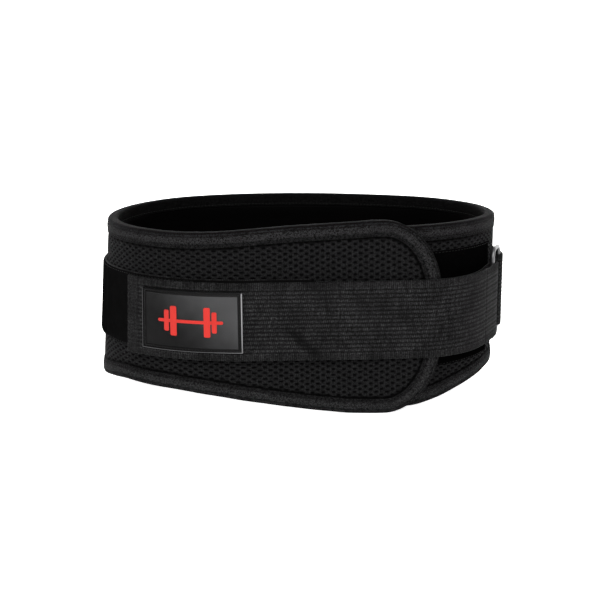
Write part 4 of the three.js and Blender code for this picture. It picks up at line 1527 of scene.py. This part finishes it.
def build_velvet_piece(name, node, first, last, middle, width, off, paint):
    """A strip of velvet on the body: a thick pile with a thinner selvedge at its edges."""
    low, high = middle - width / 2, middle + width / 2
    steps = np.array([0, 0.2, 0.9, 1.6, 2.3])
    heights = np.concatenate([low + steps, np.linspace(low + 6, high - 6, 9), high - steps[::-1]])
    inner = np.linspace(first + 2.6, last - 2.6, int((last - first) / 2.2))
    ends = np.array([0.0, 0.3, 1.0, 1.8])
    stations = np.concatenate([first + ends, inner, (last - ends)[::-1]])
    seat = off - LOOP_THICKNESS / 2

    def front(s, h):
        edge = np.minimum(np.minimum(h - low, high - h), np.minimum(s - first, last - s))
        pile = smoothstep(edge, 1.1, 2.2)
        rim = smoothstep(edge, -0.05, 0.35)
        wave = 0.05 * np.sin(s / 5.1 + np.sin(h / 3.0)) * np.sin(h / 4.7)
        share = 0.3 + (SELVEDGE - 0.3) * rim + (1 - SELVEDGE) * pile
        return seat + LOOP_THICKNESS * share + wave * pile

    mesh = sweep(name, on_body, stations, heights, front, lambda s, h: seat, paint)
    add_piece(name, [mesh], "velvet", node)


def build_velvet(settings):
    strip = LOOP_END, LOOP_START, BAND_RISE, LOOP_WIDTH, LOOP_MIDDLE
    paint = velvet_paint("loop_velvet", settings.velvet_colour)
    build_velvet_piece("velvet_strip", "loop_strip", *strip, paint)
    ends = PATCH_START - PERIMETER, PATCH_END - PERIMETER
    patch = *ends, PATCH_RISE, PATCH_WIDTH, SEAT_GAP + LOOP_THICKNESS / 2
    # The patch is the strip's velvet in a darker copy, as painted shade.
    paint = velvet_paint("patch_velvet", settings.shaded_patch_colour)
    build_velvet_piece("velvet_patch", "loop_patch", *patch, paint)


def hook_cell():
    """One hook, laid flat: a square stem that leans over, with its foot in the tape."""
    points = []
    for x, z, radius in HOOK_STEM:
        points += [(x + radius, 0, z), (x, radius, z), (x - radius, 0, z), (x, -radius, z)]
    index = numbered(len(HOOK_STEM), 4)
    faces = grid_faces(index, close_columns=True)
    faces += [index[0, ::-1].tolist(), index[-1].tolist()]
    mesh = bpy.data.meshes.new("hook_cell")
    mesh.from_pydata(points, [], faces)
    return new_object("hook_cell", mesh)


def build_hook_tape(settings):
    """The tape of hooks that holds the strap's tip on the velvet."""
    paint = thread_paint("hook_nylon", settings.hook_colour, 0.55)
    stations = np.linspace(HOOK_END, HOOK_START, 50)
    heights = np.linspace(-HOOK_WIDTH / 2, HOOK_WIDTH / 2, 6)
    strap_side = HOOK_MIDDLE + HOOK_THICKNESS / 2
    hook_side = HOOK_MIDDLE - HOOK_THICKNESS / 2 + 0.5
    faces = (lambda s, h: strap_side), (lambda s, h: hook_side)
    base = sweep("hook_base", on_body, stations, heights, *faces, paint, sharp=40)
    columns = int((HOOK_START - HOOK_END) / HOOK_PITCH) - 1
    rows = int(HOOK_WIDTH / HOOK_PITCH) - 1
    hooks = repeat_cell("hooks", hook_cell(), columns, rows, HOOK_PITCH, HOOK_PITCH, paint)
    flat = flat_points(hooks).T
    place = flat[0] + (HOOK_START + HOOK_END - HOOK_PITCH / 2) / 2
    place_points(hooks, to_frame(on_body(place, flat[1], hook_side - flat[2])))
    hooks.flip_normals()
    add_piece("hook_tape", [base, hooks], "hook_tape", "hook_patch")


# Ring, label and the stitches of the trim


def ring_path():
    """Points and outward directions round the ring, in (along, height), as a rounded rectangle."""
    half_width = RING_BAR_SPACING / 2 - RING_CORNER
    half_height = RING_OPENING / 2 + WIRE_RADIUS - RING_CORNER
    points = []
    for quarter, (right, up) in enumerate(((1, 1), (-1, 1), (-1, -1), (1, -1))):
        for angle in np.linspace(0, math.pi / 2, 13) + math.pi / 2 * quarter:
            way = (math.cos(angle), math.sin(angle))
            corner = (right * half_width + RING_CORNER * way[0], up * half_height + RING_CORNER * way[1])
            points.append((*corner, *way))
    rows = np.array(points)
    refined = []
    for row, after in zip(rows, np.roll(rows, -1, axis=0)):
        length = math.hypot(after[0] - row[0], after[1] - row[1])
        count = max(int(length / 4), 1)
        refined.append(row + (after - row) * np.linspace(0, 1, count, endpoint=False)[:, None])
    return np.concatenate(refined)


def build_ring(settings):
    """The wire ring: round wire bent to a rounded rectangle, with its butt weld on the rear bar."""
    along, height, way_x, way_z = ring_path().T[..., None]
    turn = np.linspace(0, 2 * math.pi, 20, endpoint=False)[None, :]
    weld = 0.22 * hump(height, 12, 1.3) * (along > 0)
    radius = WIRE_RADIUS - 0.02 + weld
    x = along + radius * np.cos(turn) * way_x
    z = height + radius * np.cos(turn) * way_z
    lift = radius * np.sin(turn)
    plan = RING_MIDDLE + x[..., None] * RING["along"] + lift[..., None] * RING["out"]
    flat = np.concatenate([plan, (STRAP_LEVEL + RING_RISE + z)[..., None]], -1).reshape(-1, 3)
    faces = grid_faces(numbered(*x.shape), close_rows=True, close_columns=True)
    paint = steel_paint(settings.steel_colour, settings.steel_roughness)
    mesh = shell_mesh("ring_wire", flat, faces, paint, (flat[:, 0], flat[:, 2], 0 * flat[:, 0]), sharp=60)
    add_piece("ring_wire", [mesh], "ring_metal", "buckle_ring")


def on_strap(place, height, off):
    """A point off the strap's outer face, where the strap lies on the body."""
    return on_body(place, height, strap_offset(place) + STRAP_THICKNESS / 2 + off)


def label_relief(s, h):
    """Height of the label's face: a raised rim with a sewing groove in it, and a flat field."""
    half_width, half_height = LABEL_WIDTH / 2, LABEL_HEIGHT / 2
    edge = np.minimum(half_width - np.abs(s - LABEL_MIDDLE), half_height - np.abs(h))
    rim = 1 - smoothstep(edge, LABEL_RIM_WIDTH, LABEL_RIM_WIDTH + 0.6)
    groove = LABEL_GROOVE * hump(edge, LABEL_SEAM, 0.42)
    bevel = np.clip(1 - edge / 0.4, 0, 1) ** 2
    return LABEL_THICKNESS + LABEL_RIM * rim - groove - 0.3 * bevel


def label_cuts(size, inner, count):
    """Distances from the label's middle at which its relief has a line of points."""
    near_edge = size / 2 - np.array(LABEL_CUTS)
    return np.sort(np.concatenate([-near_edge, near_edge, np.linspace(-inner, inner, count)]))


def build_label(settings):
    stations = LABEL_MIDDLE + label_cuts(LABEL_WIDTH, LABEL_WIDTH / 2 - 5, 34)
    heights = label_cuts(LABEL_HEIGHT, 19, 9)
    paint = label_paint(settings.label_colour)
    faces = (lambda s, h: LABEL_SEAT + label_relief(s, h)), (lambda s, h: LABEL_SEAT)
    mesh = sweep("label_plate", on_strap, stations, heights, *faces, paint, sharp=35)
    add_piece("label_plate", [mesh], "label_rubber", "label")


def barbell_slab(start, end, half, paint):
    """One bar or plate of the motif, with softened corners."""
    corner = min(1.1, half * 0.9)
    ease = np.array([0.0, 0.12, 0.35, 0.7, 1.0]) * corner
    middle = np.linspace(start + corner, end - corner, max(int((end - start) / 1.5), 2) + 1)[1:-1]
    stations = np.concatenate([start + ease, middle, (end - ease)[::-1]])
    share = np.array([-1.0, -0.96, -0.86, -0.5, 0, 0.5, 0.86, 0.96, 1.0])
    edge = np.clip(np.minimum(stations - start, end - stations) / corner, 0, 1)
    reach = half - corner * (1 - np.sqrt(np.clip(1 - (1 - edge) ** 2, 0, 1)))
    base = LABEL_SEAT + LABEL_THICKNESS - 0.05
    top = base + MOTIF_THICKNESS - np.where(np.abs(share) > 0.9, 0.12, 0)
    h = np.concatenate([share, share[::-1]])[None, :] * reach[:, None]
    d = np.concatenate([top, np.full(len(share), base)])[None, :]
    s, h, d = np.broadcast_arrays(stations[:, None] + LABEL_MIDDLE, h, d)
    return tube_mesh("barbell_part", on_strap(s, h, d), (s, h, d), paint, sharp=35)


def build_motif(settings):
    paint = motif_paint(settings.motif_colour)
    parts = [barbell_slab(start, end, half, paint) for start, end, half in BARBELL]
    add_piece("label_print", parts, "label_print", "label_motif")


def build_trim_stitches(stitches):
    """The seams of label, strap hem, velvet and band."""
    wide, fine = stitches.spacing, FINE_SPACING
    side, top = LABEL_WIDTH / 2 - LABEL_SEAM, LABEL_HEIGHT / 2 - LABEL_SEAM
    off = LABEL_SEAT + LABEL_THICKNESS + LABEL_RIM - LABEL_GROOVE + THREAD_SUNK / 2
    seams = frame_lines(on_strap, LABEL_MIDDLE - side, LABEL_MIDDLE + side, -top, top, off)
    half = STRAP_WIDTH / 2 - 2
    off = STRAP_THICKNESS / 2 + THREAD_SUNK
    seams.append(upright_line(STRAP_ROUTE.point, STRAP_HEM_SEAM, -half, half, off))
    lines = [(seam, fine) for seam in seams]

    velvets = (
        # first, last, rise, width, back
        (LOOP_END, LOOP_SEAM_END, BAND_RISE, LOOP_WIDTH, LOOP_MIDDLE - LOOP_THICKNESS / 2),
        (PATCH_START - PERIMETER, PATCH_END - PERIMETER, PATCH_RISE, PATCH_WIDTH, SEAT_GAP),
    )
    for first, last, rise, width, back in velvets:
        half = width / 2 - VELVET_SEAM
        ends = first + VELVET_SEAM, last - VELVET_SEAM
        off = back + SELVEDGE * LOOP_THICKNESS
        lines += [(seam, wide) for seam in frame_lines(on_body, *ends, rise - half, rise + half, off)]

    low, high = BAND_ROUTE.low + BAND_SEAM, BAND_ROUTE.high - BAND_SEAM
    ends = BAND_SEAM_START, BAND_ROUTE.body_run
    for height in (low, high):
        seam = straight_line(BAND_ROUTE.point, *ends, height, -BAND_THICKNESS / 2 + 0.05)
        lines.append((seam, wide))
    for before_end in BAND_TAIL_SEAMS:
        s = BAND_ROUTE.length - before_end
        lines.append((upright_line(BAND_ROUTE.point, s, low, high, BAND_THICKNESS / 2), fine))
    sew("trim_stitches", "webbing", lines, stitches, "trim_thread")


# Studio


def build_floor(settings):
    """A wide sheet of matt paper, level with the belt's lower edge, that curves up to a far wall."""
    turn = np.linspace(0, math.pi / 2, 13)
    profile = [(-PAPER_REACH, 0)]
    profile += [(PAPER_WALL + PAPER_BEND * math.sin(a), PAPER_BEND * (1 - math.cos(a))) for a in turn]
    profile += [(PAPER_WALL + PAPER_BEND, PAPER_TOP)]
    points = [(x, y, z - PAPER_DROP) for y, z in profile for x in (-PAPER_REACH, PAPER_REACH)]
    mesh = bpy.data.meshes.new("studio_floor")
    mesh.from_pydata(points, [], grid_faces(numbered(len(profile), 2)))
    smooth_faces(mesh)
    mesh.materials.append(floor_paint(settings.floor_colour))
    return new_object("studio_floor", mesh)


def sun_light(name, side, height, softness, strength):
    """A far soft light: its turn to the side, its height and its softness, all in degrees."""
    light = bpy.data.lights.new(name, "SUN")
    light.angle = math.radians(softness)
    light.energy = strength
    lamp = new_object(name, light)
    lamp.rotation_euler = (math.radians(90 - height), 0, math.radians(side))


def light_studio(settings):
    world = bpy.data.worlds.new("studio")
    world.use_nodes = True
    sky = next(node for node in world.node_tree.nodes if node.type == "BACKGROUND")
    sky.inputs["Color"].default_value = (1, 1, 1, 1)
    sky.inputs["Strength"].default_value = settings.sky_strength
    bpy.context.scene.world = world
    sun_light("key_light", side=8, height=38, softness=30, strength=settings.key_strength)
    sun_light("fill_light", side=-38, height=32, softness=45, strength=settings.fill_strength)


def place_camera():
    """The camera, where the photograph was taken from."""
    forward = Vector((0, math.cos(CAMERA_TILT), -math.sin(CAMERA_TILT)))
    level_up = Vector((0, math.sin(CAMERA_TILT), math.cos(CAMERA_TILT)))
    level_right = Vector((1, 0, 0))
    right = level_right * math.cos(CAMERA_ROLL) + level_up * math.sin(CAMERA_ROLL)
    up = level_up * math.cos(CAMERA_ROLL) - level_right * math.sin(CAMERA_ROLL)
    target = Vector(SHIFT) + Vector((CAMERA_SIDE, 0, STRAP_LEVEL + CAMERA_DROP))
    position = target - forward * CAMERA_DISTANCE
    lens = bpy.data.cameras.new("photo_camera")
    lens.lens = CAMERA_LENS
    lens.sensor_width = 36
    camera = new_object("photo_camera", lens)
    turn = Matrix((right, up, -forward)).transposed().to_4x4()
    camera.matrix_world = Matrix.Translation(position * MM) @ turn
    bpy.context.scene.camera = camera
    bpy.context.scene.view_settings.view_transform = "Standard"


# Operators and panel


class BELT_OT_lining(bpy.types.Operator):
    """Builds the neoprene panel with its jersey lining"""

    bl_idname = "belt.lining"
    bl_label = "Lining"

    def execute(self, context):
        build_lining(context.scene.belt_panel)
        return {"FINISHED"}


class BELT_OT_mesh(bpy.types.Operator):
    """Builds the knitted mesh with its staggered holes"""

    bl_idname = "belt.mesh"
    bl_label = "Mesh fabric"

    def execute(self, context):
        build_mesh_fabric(context.scene.belt_panel)
        return {"FINISHED"}


class BELT_OT_binding(bpy.types.Operator):
    """Folds the tape round both edges and sews it down"""

    bl_idname = "belt.binding"
    bl_label = "Edge binding"

    def execute(self, context):
        build_binding(context.scene.belt_panel, context.scene.belt_stitches)
        return {"FINISHED"}


class BELT_OT_webbing(bpy.types.Operator):
    """Weaves the pull strap and the waist band"""

    bl_idname = "belt.webbing"
    bl_label = "Webbing"

    def execute(self, context):
        settings = context.scene.belt_webbing
        paint = webbing_paint(settings)
        build_pull_webbing(settings, paint)
        build_waist_webbing(settings, paint)
        return {"FINISHED"}


class BELT_OT_velvet(bpy.types.Operator):
    """Lays the velvet strip and patch and the hooks under the strap's tip"""

    bl_idname = "belt.velvet"
    bl_label = "Velvet and hooks"

    def execute(self, context):
        build_velvet(context.scene.belt_webbing)
        build_hook_tape(context.scene.belt_webbing)
        return {"FINISHED"}


class BELT_OT_ring(bpy.types.Operator):
    """Bends the wire ring"""

    bl_idname = "belt.ring"
    bl_label = "Ring"

    def execute(self, context):
        build_ring(context.scene.belt_trim)
        return {"FINISHED"}


class BELT_OT_label(bpy.types.Operator):
    """Moulds the rubber label and its barbell"""

    bl_idname = "belt.label"
    bl_label = "Label"

    def execute(self, context):
        build_label(context.scene.belt_trim)
        build_motif(context.scene.belt_trim)
        return {"FINISHED"}


class BELT_OT_stitches(bpy.types.Operator):
    """Sews the seams of label, strap, band and velvet"""

    bl_idname = "belt.stitches"
    bl_label = "Trim stitches"

    def execute(self, context):
        build_trim_stitches(context.scene.belt_stitches)
        return {"FINISHED"}


class BELT_OT_stage(bpy.types.Operator):
    """Lays the floor, sets the lights and places the camera"""

    bl_idname = "belt.stage"
    bl_label = "Studio"

    def execute(self, context):
        scene = context.scene
        build_floor(scene.belt_studio)
        light_studio(scene.belt_studio)
        place_camera()
        return {"FINISHED"}


OPERATORS = (
    BELT_OT_lining,
    BELT_OT_mesh,
    BELT_OT_binding,
    BELT_OT_webbing,
    BELT_OT_velvet,
    BELT_OT_ring,
    BELT_OT_label,
    BELT_OT_stitches,
    BELT_OT_stage,
)

SETTINGS = {
    "belt_panel": BeltPanelSettings,
    "belt_webbing": BeltWebbingSettings,
    "belt_stitches": BeltStitchSettings,
    "belt_trim": BeltTrimSettings,
    "belt_studio": BeltStudioSettings,
}


class BELT_PT_dresser(bpy.types.Panel):
    """Settings and buttons for the belt's pieces"""

    bl_label = "Training belt"
    bl_idname = "BELT_PT_dresser"
    bl_space_type = "VIEW_3D"
    bl_region_type = "UI"
    bl_category = "Belt"

    def draw(self, context):
        for name, group in SETTINGS.items():
            box = self.layout.box()
            for setting in group.__annotations__:
                box.prop(getattr(context.scene, name), setting)
        for operator in OPERATORS:
            self.layout.operator(operator.bl_idname)


def register():
    for group in (*SETTINGS.values(), *OPERATORS, BELT_PT_dresser):
        bpy.utils.register_class(group)
    for name, group in SETTINGS.items():
        setattr(bpy.types.Scene, name, bpy.props.PointerProperty(type=group))


def unregister():
    for name in SETTINGS:
        delattr(bpy.types.Scene, name)
    for group in reversed((*SETTINGS.values(), *OPERATORS, BELT_PT_dresser)):
        bpy.utils.unregister_class(group)


def main():
    register()
    for operator in OPERATORS:
        area, name = operator.bl_idname.split(".")
        getattr(getattr(bpy.ops, area), name)()


if __name__ == "__main__":
    main()
